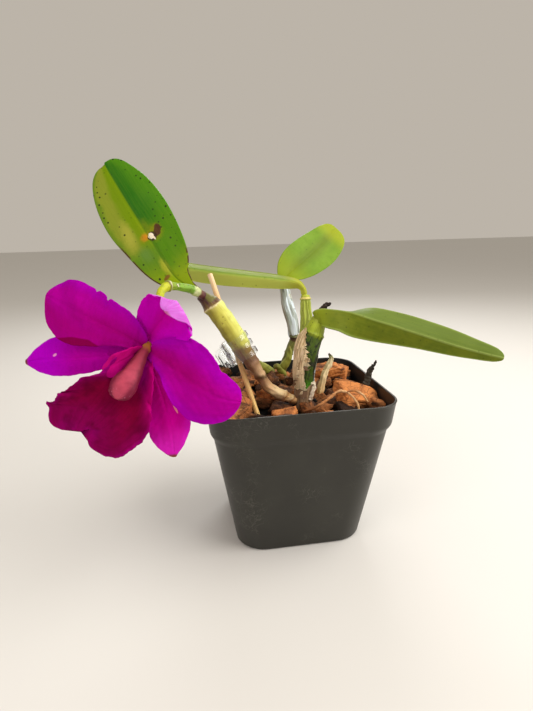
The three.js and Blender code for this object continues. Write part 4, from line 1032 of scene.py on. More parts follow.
def back_leaf_marks(g, chart, across, side, colour):
    """Leaf D: yellow at its foot, grey-green along its middle, and paler margins as painted light shining through
    them.
    """
    v = g.parts(chart)[1]
    # painted light: the middle is darkened so that the margins stay paler, lit through from behind
    place = g.plus(g.absolute(across), g.times(g.noise(chart, 0.01), 0.4))
    return g.layers(colour,
        ((100, 118, 34), g.fade(place, 0.75, 0.2, 0.0, 0.7)),
        ((150, 160, 26), g.fade(v, 0.05, 0.062, 0.0, 0.8)),
        ((136, 150, 22), g.fade(v, 0.028, 0.006, 0.0, 0.75)))


def petal_finish(name, look, settings, marks=None):
    """A petal: `heart_and_painted_light` near its base and middle, `mid` over it, `margin` at its edges and lilac behind.

    Veins fan out from the base, and the blade has a soft crease along its middle.
    """

    def build(g):
        chart = g.chart()
        across, along, side = g.reading("across"), g.reading("along"), g.reading("face")
        drift = g.drift(chart, 0.009, 3.0)
        fan = g.add("ShaderNodeCombineXYZ", {0: g.times(across, 14.0), 1: g.times(along, 2.2)})
        veins = g.noise(fan.outputs[0], 1.0, 4.0, 0.6, 0.25)
        edge = g.plus(g.absolute(across), g.times(drift, 0.4))
        colour = g.mix(g.fade(edge, 0.5, 1.0), look["mid"], look["margin"])
        place = g.plus(g.times(across, look["lean"]), g.times(drift, 0.3))
        colour = g.mix(g.part_of(0.8, g.fade(place, 0.05, 0.6)), colour, look["tinge"])
        streak = g.minus(across, look.get("streak", 0.0))
        middle = g.part_of(0.75, g.fade(g.absolute(g.plus(streak, g.times(drift, 0.5))), 0.55, 0.0))
        colour = g.mix(g.times(middle, g.fade(along, 0.95, 0.45)), colour, look["heart_and_painted_light"])
        colour = g.mix(g.part_of(0.12, g.fade(veins, 0.44, 0.64)), colour, look["heart_and_painted_light"])
        behind = g.mix(g.part_of(0.5, g.fade(veins, 0.4, 0.65)), paint(202, 118, 212), look["mid"])
        colour = g.mix(g.fade(side, 0.2, -0.2), colour, behind)
        if marks:
            colour = marks(g, chart, across, along, colour)
        sparkle = g.cells(chart, 0.00035)
        height = g.plus(veins, g.part_of(0.25, sparkle))
        return {"Base Color": colour, "Normal": g.bump(height, settings.vein_strength, 0.0005)}

    return material(
        name, build, roughness=0.8, specular_ior_level=0.02, **soft_flesh(0.15, 0.003, 0.0005, 0.002))


def lip_finish(settings):
    """The lip: dark velvet with soft patches and branching veins, purple at its frilled margin.

    The side lobe, told by the reading `lobe`, is crimson with a light edge.
    Near its base and beside the column the lip is lightened by painted light.
    """

    def build(g):
        chart = g.chart()
        across, along, lobe = g.reading("across"), g.reading("along"), g.reading("lobe")
        fan = g.add("ShaderNodeCombineXYZ", {0: g.times(across, 16.0), 1: g.times(along, 3.0)})
        veins = g.noise(fan.outputs[0], 1.0, 5.0, 0.65, 0.5)
        cloud = g.noise(chart, 0.009, 2.0)
        drift = g.times(g.minus(cloud, 0.5), 0.2)
        rim = g.math("MAXIMUM", g.absolute(across), g.times(along, 0.97))
        rim = g.plus(rim, drift)
        colour = g.mix(g.fade(rim, 0.55, 0.95), (*settings.lip_colour, 1.0), paint(128, 0, 76))
        colour = g.layers(colour,
            ((150, 0, 116), g.fade(rim, 0.92, 1.02), 0.8),
            ((88, 0, 34), g.fade(cloud, 0.47, 0.66), 0.6),
            ((76, 0, 34), g.fade(veins, 0.44, 0.6), 0.2),
            # painted light: lighter magenta near the base, where the column shades the lip
            ((158, 0, 128), g.fade(along, 0.5, 0.24), 0.8))
        # painted light: a lighter strip right of the column, where the column shades the lip
        strip = g.times(g.fade(across, -0.4, -0.85), g.fade(along, 0.6, 0.4))
        colour = g.lay(colour, (178, 0, 110), strip, 0.85)
        side_lobe = g.mix(g.fade(g.times(across, -1.0), -0.2, 0.7), paint(190, 8, 120), paint(160, 0, 104))
        side_lobe = g.lay(side_lobe, (150, 0, 96), g.fade(along, 0.5, 0.1), 0.5)
        colour = g.mix(lobe, colour, side_lobe)
        sparkle = g.cells(chart, 0.0004)
        height = g.plus(veins, g.part_of(0.25, sparkle))
        return {"Base Color": colour, "Normal": g.bump(height, 0.16, 0.0005)}

    return material(
        "Lip velvet", build, roughness=0.8, specular_ior_level=0.03, **soft_flesh(0.08, 0.002, 0.0003, 0.001))


def column_finish():
    """The column: pink painted highlight along its front, dark crimson painted shade at its sides, tan where it
    starts.
    """

    def build(g):
        along, around = g.reading("along"), g.reading("around")
        cloud = g.noise(g.chart(), 0.004, 3.0)
        # painted highlight on the side facing the camera, painted shade towards the sides
        front = g.math("COSINE", g.times(g.minus(around, 0.25), 2 * math.pi))
        front = g.plus(front, g.times(g.minus(cloud, 0.5), 0.5))
        colour = g.mix(g.fade(front, 0.6, 1.1), paint(110, 22, 50), paint(188, 72, 96))
        colour = g.layers(colour,
            ((124, 36, 54), g.fade(along, 0.6, 0.25), 0.6),
            ((186, 124, 56), g.fade(along, 0.2, 0.08)))
        points = g.noise(g.chart(), 0.0009, 2.0)
        tip = g.times(g.fade(along, 0.99, 1.0), g.fade(points, 0.62, 0.7))
        colour = g.lay(colour, (226, 150, 180), tip, 0.35)
        return {"Base Color": colour, "Normal": g.bump(cloud, 0.15, 0.0005)}

    return material(
        "Column", build, roughness=0.55, specular_ior_level=0.15, **soft_flesh(0.15, 0.003, 0.001, 0.001))


def stem_finish(name, stops, rough, specks=None, fibres=0.2, fibre_tint=(90, 84, 30), bump=0.35, marks=None,
                slant=0.0):
    """A stem: colours banded along it, its own marks, fibres, specks and a fine grain.

    Specks are (share, red, green, blue). The bands lie slanted: they start `slant` of the length later at the
    stem's left than at its middle.
    """

    def build(g):
        chart = g.chart()
        wander = g.times(g.drift(chart, 0.004, 3.0), 0.05)
        right = g.math("COSINE", g.times(g.reading("around"), 2 * math.pi))
        along = g.plus(g.reading("along"), g.times(g.plus(right, 1.0), slant))
        colour = g.bands(g.plus(along, wander), stops)
        lines = fibrous(g, chart, 0.0006, 0.4)
        colour = g.lay(colour, fibre_tint, g.fade(lines, 0.42, 0.66), fibres)
        cloud = g.noise(chart, 0.005, 4.0)
        if marks:
            colour = marks(g, chart, along, right, cloud, colour)
        if specks:
            dots = strewn(g, chart, 0.0016, 0.26, specks[0])
            colour = g.lay(colour, specks[1:], dots, 0.7)
        grain = g.noise(chart, 0.0005, 2.0)
        height = g.plus(lines, g.times(grain, 0.4))
        return {"Base Color": colour, "Roughness": g.fade(cloud, 0.3, 0.7, *rough),
                "Normal": g.bump(height, bump, 0.0004)}

    return material(name, build, specular_ior_level=0.25)


def leaning_cane_marks(g, chart, along, right, cloud, colour):
    """Cane A: painted olive shade at left, a painted highlight as a pale line at right, a node dark at left,
    green at right.

    Below the clip, painted shade makes its left brown, in patches.
    """
    side = g.plus(right, g.times(g.minus(cloud, 0.5), 1.2))
    # painted shade: brown patches on the left below the clip
    shade = g.times(g.fade(along, 0.5, 0.46), g.fade(side, 0.1, -0.7, 0.0, 0.75))
    colour = g.lay(colour, (112, 74, 52), shade)
    yellow = g.times(g.fade(along, 0.52, 0.6), g.fade(along, 0.84, 0.81))
    # painted shade in olive at the left of the yellow part, painted highlight as a pale line at its right
    colour = g.layers(colour,
        ((128, 118, 26), g.times(yellow, g.fade(side, 0.0, -0.9, 0.0, 0.85))),
        ((220, 228, 128), g.times(yellow, g.fade(side, 0.45, 0.95, 0.0, 0.8))))
    node = g.times(g.fade(along, 0.86, 0.89), g.fade(side, -0.1, 0.35))
    return g.lay(colour, (112, 112, 52), node, 0.85)


def stalk_marks(g, chart, along, right, cloud, colour):
    """The flower stalk: pale torn scars with dark edges behind its bend, and dull patches."""
    torn = g.times(g.drift(chart, 0.0018, 2.0), 0.06)
    scar = g.plus(g.absolute(g.minus(along, 0.26)), torn)
    patch = g.fade(g.noise(chart, 0.003, 2.0), 0.5, 0.56)
    return g.layers(colour,
        ((146, 168, 66), g.fade(cloud, 0.52, 0.62, 0.0, 0.5)),
        ((84, 62, 40), g.times(patch, g.fade(scar, 0.03, 0.02, 0.0, 0.8))),
        ((226, 214, 196), g.times(patch, g.fade(scar, 0.012, 0.004, 0.0, 0.9))))


def front_cane_marks(g, chart, along, right, cloud, colour):
    """Cane B: black crinkled patches on its green body and a brighter green towards its foot."""
    crinkle = g.noise(g.stretch(chart, (1, 0.35, 1), (0, 0, 0.5)), 0.0016, 3.0, 0.6, 0.6)
    body = g.times(g.fade(along, 0.3, 0.4), g.fade(along, 0.86, 0.82))
    colour = g.layers(colour,
        ((22, 30, 14), g.times(body, g.fade(crinkle, 0.5, 0.62, 0.0, 0.8))),
        ((36, 30, 24), g.times(body, g.fade(cloud, 0.52, 0.6, 0.0, 0.85))))
    low = g.times(g.fade(along, 0.18, 0.24), g.fade(along, 0.42, 0.34))
    return g.lay(colour, (66, 130, 24), low, 0.8)


def papery(name, light, dark, rough=(0.5, 0.75), spacing=0.0007, stains=0.5, patches=None):
    """A dry papery sheath: close fibres, stains, torn paler patches, and its own patches."""
    light, dark = paint(*light), paint(*dark)

    def build(g):
        chart = g.chart()
        lines = fibrous(g, chart, spacing, 0.5)
        cloud = g.noise(chart, 0.007, 5.0, 0.62)
        colour = g.mix(g.fade(lines, 0.34, 0.62), dark, light)
        colour = g.mix(g.fade(cloud, 0.5, 0.7, 0.0, stains), colour, dark)
        colour = g.lay(colour, (236, 224, 200), g.fade(cloud, 0.42, 0.28, 0.0, 0.5))
        if patches:
            colour = patches(g, chart, g.reading("along"), g.reading("across"), cloud, colour)
        dots = strewn(g, chart, 0.0022, 0.2, 0.12)
        colour = g.lay(colour, (70, 48, 30), dots, 0.5)
        return {"Base Color": colour, "Roughness": g.fade(cloud, 0.3, 0.7, *rough),
                "Normal": g.bump(lines, 0.5, 0.0005)}

    return material(name, build, specular_ior_level=0.2, sheen_weight=0.1, sheen_roughness=0.4)


def tan_husk_marks(g, chart, along, across, cloud, colour):
    """The tan husk: dark fibres, greyer and streaked below a dark line at its foot."""
    fibre = g.noise(g.stretch(chart, (1, 0.12, 1)), 0.0011, 2.0, 0.5, 0.4)
    return g.layers(colour,
        ((120, 88, 58), g.fade(fibre, 0.56, 0.64, 0.0, 0.6)),
        ((176, 166, 134), g.fade(along, 0.42, 0.2, 0.0, 0.7)),
        ((128, 100, 76), g.fade(along, 0.17, 0.155)),
        ((48, 36, 30), g.fade(g.absolute(g.minus(along, 0.165)), 0.012, 0.006, 0.0, 0.85)))


def silver_husk_marks(g, chart, along, across, cloud, colour):
    """The silver husk: a tan and dark brown edge, with painted highlights and painted shade along its creases."""
    edge = g.plus(across, g.part_of(0.16, cloud))
    colour = g.lay(colour, (140, 128, 104), g.fade(edge, 0.46, 0.36, 0.0, 0.85))
    # painted highlights in blue-white and painted shade in grey along its crinkles
    crease = g.noise(g.stretch(chart, (1, 0.1, 1)), 0.0026, 2.0, 0.5, 0.4)
    colour = g.lay(colour, (226, 240, 250), g.fade(crease, 0.52, 0.58, 0.0, 0.85))
    return g.lay(colour, (104, 104, 88), g.fade(crease, 0.46, 0.4, 0.0, 0.8))


def clear_plastic():
    """Clear moulded plastic, a little uneven."""

    def build(g):
        uneven = g.noise(g.object_place(), 0.005, 2.0)
        return {"Normal": g.bump(uneven, 0.25, 0.0004)}

    return material(
        "Clear plastic", build, base_color=paint(250, 252, 253), roughness=0.02,
        transmission_weight=1.0, ior=1.15,
        coat_weight=0.8, coat_roughness=0.03, coat_ior=1.5)


def spring_steel():
    """Bright spring wire with fine drawing lines."""

    def build(g):
        lines = g.noise(g.stretch(g.object_place(), (1, 1, 8)), 0.001, 3.0)
        return {"Base Color": g.mix(lines, paint(190, 192, 196), paint(150, 152, 158)),
                "Roughness": g.fade(lines, 0.3, 0.7, 0.25, 0.4), "Normal": g.bump(lines, 0.2, 0.0001)}

    return material("Spring wire", build, metallic=1.0)


def plain_floor(settings):
    """A matt pale floor, very faintly clouded."""

    def build(g):
        grain = g.noise(g.object_place(), 0.05, 3.0)
        pale = (*settings.floor_colour, 1.0)
        return {"Base Color": g.lay(pale, (190, 188, 184), g.times(grain, 0.06))}

    return material("Floor", build, roughness=0.85)


# ---------------------------------------------------------------- the pot and its bark
def rounded_square(half, corner, z):
    """Points round a square of half width `half` whose corners are quarter circles, at the height z."""
    per_corner, per_side = 14, 10
    turn = np.linspace(0, math.pi / 2, per_corner)
    ring = []
    for quarter in range(4):
        start = quarter * math.pi / 2
        sx, sy = np.sign(math.cos(start + math.pi / 4)), np.sign(math.sin(start + math.pi / 4))
        arc = np.stack([
            (half - corner) * sx + corner * np.cos(start + turn),
            (half - corner) * sy + corner * np.sin(start + turn),
        ], -1)
        ring.append(arc)
    ring = [
        np.concatenate([arc, arc[-1] + (after[0] - arc[-1]) * np.linspace(0, 1, per_side + 2)[1:-1, None]])
        for arc, after in zip(ring, ring[1:] + ring[:1])
    ]
    flat = np.concatenate(ring)
    return np.concatenate([flat, np.full((len(flat), 1), z)], -1)


def softened(profile, radius, steps=4):
    """A polyline with its inner corners rounded by quadratic curves, up to a third of a side long."""
    profile = np.asarray(profile, float)
    out = [profile[:1]]
    share = np.linspace(0, 1, steps)[:, None]
    for before, corner, after in zip(profile, profile[1:], profile[2:]):
        back, ahead = before - corner, after - corner
        reach = min(radius, np.linalg.norm(back) / 3, np.linalg.norm(ahead) / 3)
        a = corner + back / np.linalg.norm(back) * reach
        c = corner + ahead / np.linalg.norm(ahead) * reach
        out.append((1 - share) ** 2 * a + 2 * share * (1 - share) * corner + share**2 * c)
    return np.concatenate(out + [profile[-1:]])


def inner_half(z):
    """Half the width inside the pot's walls at the height z."""
    collar_low = POT["height"] - POT["collar_tall"]
    body_top = collar_low - POT["step_tall"]
    heights = [POT["floor"], body_top, collar_low + 0.4, POT["height"]]
    halves = [POT["base"], POT["body_top"], POT["collar"], POT["rim"]]
    return np.interp(z, heights, halves) - POT["wall"]


def pot_mesh():
    """The pot: a profile up the outside, over the rim and down the inside, carried round a rounded square."""
    collar_low = POT["height"] - POT["collar_tall"]
    body_top = collar_low - POT["step_tall"]
    top, wall = POT["height"], POT["wall"]
    corner, inner = POT["corner"], POT["corner"] - POT["wall"]
    outside = [
        (POT["base"] - 4, 0.6), (POT["base"] - 3, 0),
        (POT["base"] - POT["foot"], 0), (POT["base"], POT["foot"]),
        (POT["body_top"], body_top), (POT["collar"] - 0.4, collar_low - 0.6), (POT["collar"], collar_low + 0.6),
        (POT["rim"] - 0.3, top - 1.2), (POT["rim"], top - 0.6), (POT["rim"] - 0.25, top),
        (POT["rim"] - wall + 0.2, top), (POT["rim"] - wall, top - 0.4),
        (POT["collar"] - wall, collar_low + 0.4),
        (POT["body_top"] - wall, body_top),
        (POT["base"] - wall, POT["floor"]), (POT["base"] - wall - 4, POT["floor"]),
    ]
    profile = softened(outside, POT["soft"])
    rim_at = int(np.argmax(profile[:, 1]))
    corners = np.where(np.arange(len(profile)) <= rim_at, corner, inner)
    foot = np.minimum(corners, profile[:, 0] - POT["base"] + corner)
    corners = np.where(profile[:, 1] <= POT["floor"], foot, corners)
    rings = np.stack([rounded_square(h, c, z) for (h, z), c in zip(profile, corners)])
    arc = lengths(profile)
    turn = np.linspace(0, 8 * POT["rim"], rings.shape[1] + 1)
    # marks the inside walls, which the plastic paints near-black as painted shade
    inside = (np.arange(len(profile)) > rim_at + 3) * 1.0
    skin = Skin(rings, np.stack(np.broadcast_arrays(turn[None], arc[:, None]), -1),
                inside=np.broadcast_to(inside[:, None], rings.shape[:2]))
    body = bpy.data.objects.new("pot_shell", fused("pot_shell", [skin]))
    bpy.context.scene.collection.objects.link(body)
    punches = []
    for x in (-1, 1):
        for y in (-1, 1):
            place = np.array([x, y, 0]) * POT["drain_offset"]
            peg = {"points": [place - (0, 0, 3), place + (0, 0, 6)], "radii": [POT["drain_radius"]] * 2}
            punches.append(stem_skin(peg, sides=40, rows=4))
    cutter = bpy.data.objects.new("drains", fused("drains", punches))
    bpy.context.scene.collection.objects.link(cutter)
    cut = body.modifiers.new("Drains", "BOOLEAN")
    cut.operation, cut.solver, cut.object = "DIFFERENCE", "EXACT", cutter
    bpy.context.view_layer.update()
    made = bpy.data.meshes.new_from_object(body.evaluated_get(bpy.context.evaluated_depsgraph_get()))
    made.name = "pot"
    for spare in (body, cutter):
        bpy.data.objects.remove(spare)
    return made


def bark_top(x, y):
    """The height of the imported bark: it rises to the back, with hollows at the feet of the stake and cane B."""
    top = BED["level"] + BED["rise"] * y / BED["reach"]
    for at_x, at_y, deep, wide in BED["hollows"]:
        top = top - deep * np.exp(-((x - at_x) ** 2 + (y - at_y) ** 2) / wide**2)
    return top


def within_walls(points):
    """Points outside the pot's inner wall, a rounded square, moved in to it."""
    gap = 0.5
    flat = points[..., :2]
    corner = POT["corner"] - POT["wall"]
    reach = np.abs(flat) - (inner_half(points[..., 2]) - gap - corner)[..., None]
    outside = np.maximum(reach, 0)
    length = np.linalg.norm(outside, axis=-1, keepdims=True)
    beyond = np.maximum(length - corner, 0)
    step = np.sign(flat) * outside / np.maximum(length, 1e-6) * beyond
    return np.concatenate([flat - step, points[..., 2:]], -1)


def bark_core():
    """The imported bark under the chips: the pot's inside filled up to a rough top."""
    floor = POT["floor"] + 0.4
    low = [rounded_square(inner_half(z) - 0.4, 15, z) for z in np.linspace(floor, BED["core"] + 4, 12)]
    shrink = np.linspace(1, 0.01, 60)[:, None, None]
    top = low[-1][None] * np.array([1, 1, 0]) * shrink
    x, y = top[..., 0], top[..., 1]
    rough = 1.4 * ripple(top, 7, 5) + 0.5 * ripple(top, 2.5, 6)
    lowered = np.minimum(1, 3 * (1 - shrink[..., 0]))
    top = np.stack([x, y, (bark_top(x, y) - 3.5 + rough) * lowered + (BED["core"] + 4) * (1 - lowered)], -1)
    rings = np.concatenate([np.stack(low), top[1:]])
    chart = np.zeros((len(rings), rings.shape[1] + 1, 2))
    # a tone of -1 makes the bark finish paint the core near-black: painted shade in the gaps between the chips
    return Skin(rings, chart, tone_and_shade=np.full(rings.shape[:2], -1.0))


def round_cube(cuts):
    """Directions and quads of a cube whose faces are cut into a grid and pushed onto a sphere."""
    net = bmesh.new()
    bmesh.ops.create_cube(net, size=2)
    bmesh.ops.subdivide_edges(net, edges=net.edges[:], cuts=cuts, use_grid_fill=True)
    net.verts.index_update()
    points = np.array([v.co[:] for v in net.verts])
    faces = np.array([[v.index for v in face.verts] for face in net.faces])
    net.free()
    return unit(np.tan(points * math.pi / 4)), faces


def chip_points(spec, directions, rough=0.5):
    """An angular chip of bark.

    In its own unit box it is the set inside several planes: along a direction its radius is the least of
    plane distance over the cosine to that plane. Six planes make a crooked block and the rest knock its
    corners off. Layers along its thickness and sine noise roughen it, and then it is scaled and turned.
    """
    random = np.random.RandomState(spec["seed"])
    block = np.concatenate([np.eye(3), -np.eye(3)]) + random.uniform(-0.22, 0.22, (6, 3))
    knocks = random.choice([-1, 1], (7, 3)) * random.uniform(0.35, 1, (7, 3))
    planes = unit(np.concatenate([block, knocks]))
    distances = np.concatenate([random.uniform(0.8, 1.0, 6), random.uniform(0.95, 1.3, 7)])
    lean = directions @ planes.T
    reach = np.where(lean > 0.05, distances / np.maximum(lean, 0.05), 9).min(1)
    half = np.asarray(spec["size"], float) / 2
    points = directions * reach[:, None] * half
    seed = spec["seed"]
    layers = ripple(points * np.array([0.35, 0.35, 2.6]), 3.2, seed + 1)
    bumps = 0.7 * ripple(points, 2.6, seed + 2) + 0.4 * ripple(points, 1.1, seed + 3)
    points = points + directions * (rough * (0.6 * layers + 0.7 * bumps))[:, None]
    tilt_x, tilt_y = spec["tilt"]
    turned_by = Matrix.Rotation(spec["turn"], 3, "Z") @ Matrix.Rotation(tilt_y, 3, "Y") @ Matrix.Rotation(
        tilt_x, 3, "X")
    return points @ np.array(turned_by).T + np.asarray(spec["at"], float)


def bark_mesh(settings):
    """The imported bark: its core and the chips strewn over it on a loose grid."""
    directions, faces = round_cube(7)
    random = np.random.RandomState(settings.chip_seed)
    side = settings.chips_across
    pitch = 2 * BED["reach"] / (side - 1)
    points, polygons, tones = [], [], []
    core = bark_core()
    points.append(core.points)
    tones.append(core.readings["tone_and_shade"])
    quads, tips = core.polygons
    polygons.append(quads)
    count = len(core.points)
    for i in range(side * side):
        x = -BED["reach"] + pitch * (i % side) + random.uniform(-0.45, 0.45) * pitch
        y = -BED["reach"] + pitch * (i // side) + random.uniform(-0.45, 0.45) * pitch
        long = random.uniform(8, 19)
        thick = random.uniform(4, 7.5)
        spec = {
            "at": (x, y, bark_top(x, y) - 0.32 * thick + random.uniform(-1.6, 2.2)),
            "size": (long, long * random.uniform(0.5, 0.85), thick),
            "turn": random.uniform(0, math.pi),
            "tilt": tuple(random.uniform(-0.55, 0.55, 2)),
            "seed": int(random.randint(1, 10**6)),
        }
        points.append(within_walls(chip_points(spec, directions)))
        polygons.append(faces + count)
        count += len(directions)
        tones.append(np.full(len(directions), random.uniform(-0.8, 0.6)))
    points = np.concatenate(points)
    readings = {"tone_and_shade": np.concatenate(tones)}
    return mesh_from("bark_bed", points, [np.concatenate(polygons), tips], None, readings)


# ---------------------------------------------------------------- stems
def ribs(count, deep, first, last, seed=1):
    """Relief: ribs along a stem between two places, uneven by sine noise."""

    def relief(t, angle, places):
        uneven = ripple(places, 9, seed)
        share = ease(t, first, first + 0.08) * (1 - ease(t, last - 0.08, last))
        return deep * share * (np.cos(count * angle + 0.8 * uneven) + 0.35 * uneven)

    return relief


def ringed(pitch, deep, first, last, seed=1):
    """Relief: rings round a stem, `pitch` of its length apart, between two places."""

    def relief(t, angle, places):
        uneven = ripple(places, 5, seed)
        share = ease(t, first - 0.02, first + 0.02) * (1 - ease(t, last - 0.02, last + 0.02))
        return deep * share * np.cos(2 * math.pi * t / pitch + 0.7 * uneven)

    return relief


def lumps(size, deep, seed=1):
    """Relief: lumps of sine noise."""
    return lambda t, angle, places: deep * ripple(places, size, seed)


def step_at(where, deep):
    """Relief: a sharp step down after a place, as a leaf scar leaves."""
    fall, climb = 0.012, 0.05
    return lambda t, angle, places: (
        deep * np.exp(-np.maximum((t - where) / fall, 0) ** 2) * ease(t, where - climb, where))


def slanted(other, slant):
    """Another relief, slanted so that it lies further down the stem at its right."""
    return lambda t, angle, places: other(t + slant * (1 + np.cos(angle)), angle, places)


def together(*reliefs):
    """The sum of several reliefs."""
    return lambda t, angle, places: sum(relief(t, angle, places) for relief in reliefs)


def midrib(deep, width):
    """Relief of a blade: a groove along its middle in front, which is a keel behind, and soft waves."""

    def relief(s, t, places):
        along = np.sin(math.pi * np.clip(s, 0, 1)) ** 0.4
        return 0.22 * ripple(places, 22, 6) - deep * np.exp(-((t / width) ** 2)) * along

    return relief


def petal_veins(deep, seed):
    """Relief of a petal: fanning low ridges and soft waves."""

    def relief(s, t, places):
        waves = 0.35 * ripple(places, 13, seed) + 0.12 * ripple(places, 4, seed + 1)
        return waves + deep * np.cos(26 * t + 2 * s) - 0.3 * np.exp(-((t / 0.06) ** 2))

    return relief


def clip_place(points):
    """Moves points from the clip's frame, Z down its pin, into the plant's."""
    z = unit(np.array(CLIP["down"]))
    facing = unit(np.asarray(FLOWER["facing"], float))
    y = unit(facing - z * (facing @ z))
    return points @ np.stack([np.cross(y, z), y, z]) + np.array(CLIP["at"])


def merged_copy(node):
    """A copy of a solid's mesh with its doubles and its flat faces merged, smooth but for its sharp edges."""
    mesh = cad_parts[node].data.copy()
    mesh.name = node
    net = bmesh.new()
    net.from_mesh(mesh)
    bmesh.ops.remove_doubles(net, verts=net.verts[:], dist=1e-6)
    bmesh.ops.dissolve_limit(net, angle_limit=math.radians(1), verts=net.verts[:], edges=net.edges[:])
    net.to_mesh(mesh)
    net.free()
    mesh.shade_smooth()
    mesh.set_sharp_from_angle(angle=math.radians(40))
    mesh.materials.clear()
    return mesh


# ---------------------------------------------------------------- settings
class OrchidPotSettings(bpy.types.PropertyGroup):
    pot_colour: FloatVectorProperty(
        name="Plastic", description="Colour of the pot's plastic", subtype="COLOR", size=3, min=0, max=1,
        default=paint(42, 41, 36)[:3])


class OrchidBarkSettings(bpy.types.PropertyGroup):
    chips_across: IntProperty(
        name="Chips across", description="Chips along each side of the bed's grid", default=10, min=4, max=12)
    chip_seed: IntProperty(name="Seed", description="Seed of the chips' places", default=11, min=0)
    flake_depth: FloatProperty(
        name="Flake depth", description="Depth of the flakes' relief", default=0.0007, min=0, max=0.01,
        unit="LENGTH")


class OrchidStemSettings(bpy.types.PropertyGroup):
    rib_depth: FloatProperty(
        name="Rib depth", description="Depth of the old cane's ribs", default=0.45 * MM, min=0, max=2 * MM,
        unit="LENGTH")
    ring_depth: FloatProperty(
        name="Ring depth", description="Depth of the rings on the creeping stem", default=0.28 * MM, min=0,
        max=2 * MM, unit="LENGTH")


class OrchidLeafSettings(bpy.types.PropertyGroup):
    groove_depth: FloatProperty(
        name="Midrib", description="Depth of the groove along a leaf's middle", default=0.8 * MM, min=0,
        max=3 * MM, unit="LENGTH")


class OrchidFlowerSettings(bpy.types.PropertyGroup):
    frill_height: FloatProperty(
        name="Frill", description="Height of the frills at the lip's margin", default=0.55 * MM, min=0,
        max=4 * MM, unit="LENGTH")
    vein_strength: FloatProperty(
        name="Veins", description="Strength of the veins in the petals", default=0.25, min=0, max=1,
        subtype="FACTOR")
    petal_colour: FloatVectorProperty(
        name="Petals", description="Main colour of the petals", subtype="COLOR", size=3, min=0, max=1,
        default=paint(164, 0, 140)[:3])
    lip_colour: FloatVectorProperty(
        name="Lip", description="Main colour of the lip", subtype="COLOR", size=3, min=0, max=1,
        default=paint(116, 0, 46)[:3])


class OrchidStageSettings(bpy.types.PropertyGroup):
    floor_colour: FloatVectorProperty(
        name="Floor", description="Colour of the floor", subtype="COLOR", size=3, min=0, max=1,
        default=paint(214, 212, 208)[:3])
    key_power: FloatProperty(
        name="Key light", description="Power of the large light at the right", default=8.0, min=0, unit="POWER")
    fill_power: FloatProperty(
        name="Fill light", description="Power of the light at the left", default=2.2, min=0, unit="POWER")


# ---------------------------------------------------------------- operators
class ORCHID_OT_stage(bpy.types.Operator):
    """Sets up the camera, the floor and the lights"""

    bl_idname = "orchid.stage"
    bl_label = "Stage"

    def execute(self, context):
        settings = context.scene.orchid_stage
        yaw, pitch, roll = CAMERA["yaw"], CAMERA["pitch"], CAMERA["roll"]
        ahead = np.array([math.sin(yaw) * math.cos(pitch), math.cos(yaw) * math.cos(pitch), math.sin(pitch)])
        level = np.array([math.cos(yaw), -math.sin(yaw), 0])
        upright = np.cross(level, ahead)
        right = math.cos(roll) * level + math.sin(roll) * upright
        up = -math.sin(roll) * level + math.cos(roll) * upright
        lens = bpy.data.cameras.new("camera")
        lens.sensor_fit = "AUTO"
        lens.sensor_width = 36
        lens.lens = lens.sensor_width * CAMERA["focal_px"] / max(CAMERA["picture_px"])
        lens.clip_start = 0.01
        camera = bpy.data.objects.new("camera", lens)
        place = Matrix(np.stack([right, up, -ahead], 1).tolist()).to_4x4()
        place.translation = [x * MM for x in CAMERA["at"]]
        camera.matrix_world = place
        context.scene.collection.objects.link(camera)
        context.scene.camera = camera

        corners = [(x * FLOOR_HALF, y * FLOOR_HALF, 0) for x, y in ((-1, -1), (1, -1), (1, 1), (-1, 1))]
        floor = bpy.data.meshes.new("floor")
        floor.from_pydata(corners, [], [(0, 1, 2, 3)])
        ground = bpy.data.objects.new("floor", floor)
        floor.materials.append(plain_floor(settings))
        context.scene.collection.objects.link(ground)

        powers = {"key": settings.key_power, "fill": settings.fill_power, "rim": settings.fill_power}
        for name, lamp in LAMPS.items():
            light = bpy.data.lights.new(name, "AREA")
            light.shape, light.size = "DISK", lamp["size"]
            light.energy, light.color = powers[name], lamp["colour"]
            stand = bpy.data.objects.new(name, light)
            aim = (Vector(LAMP_TARGET) - Vector(lamp["at"])).to_track_quat("-Z", "Y").to_matrix().to_4x4()
            aim.translation = lamp["at"]
            stand.matrix_world = aim
            context.scene.collection.objects.link(stand)
        world = bpy.data.worlds.new("studio")
        world.use_nodes = True
        sky = world.node_tree.nodes["Background"].inputs
        sky["Color"].default_value = paint(*SKY["colour"])
        sky["Strength"].default_value = SKY["strength"]
        context.scene.world = world
        context.scene.view_settings.view_transform = "Standard"
        return {"FINISHED"}


class ORCHID_OT_pot(bpy.types.Operator):
    """Makes the square pot with its collar and drain holes"""

    bl_idname = "orchid.pot"
    bl_label = "Pot"

    def execute(self, context):
        piece("pot_moulded", pot_mesh(), pot_plastic(context.scene.orchid_pot), ["pot"])
        return {"FINISHED"}


class ORCHID_OT_bark(bpy.types.Operator):
    """Fills the pot with bark and lays the large chips on it"""

    bl_idname = "orchid.bark"
    bl_label = "Bark"

    def execute(self, context):
        settings = context.scene.orchid_bark
        brown = bark_finish("Bark", settings, (178, 112, 62), (86, 52, 30), (30, 21, 17))
        orange = bark_finish("Orange bark", settings, (214, 136, 74), (146, 86, 46), (72, 44, 28))
        piece("bark_packed", bark_mesh(settings), brown, ["bark_bed"])
        directions, faces = round_cube(30)
        for node, spec in CHIPS.items():
            points = within_walls(chip_points(spec, directions, 0.3))
            mesh = mesh_from(node, points, [faces], None, {"tone_and_shade": np.full(len(points), 0.3)})
            left = node == "bark_chip_left"
            piece(node + "_flaked", mesh, brown if left else orange, [node])
        return {"FINISHED"}


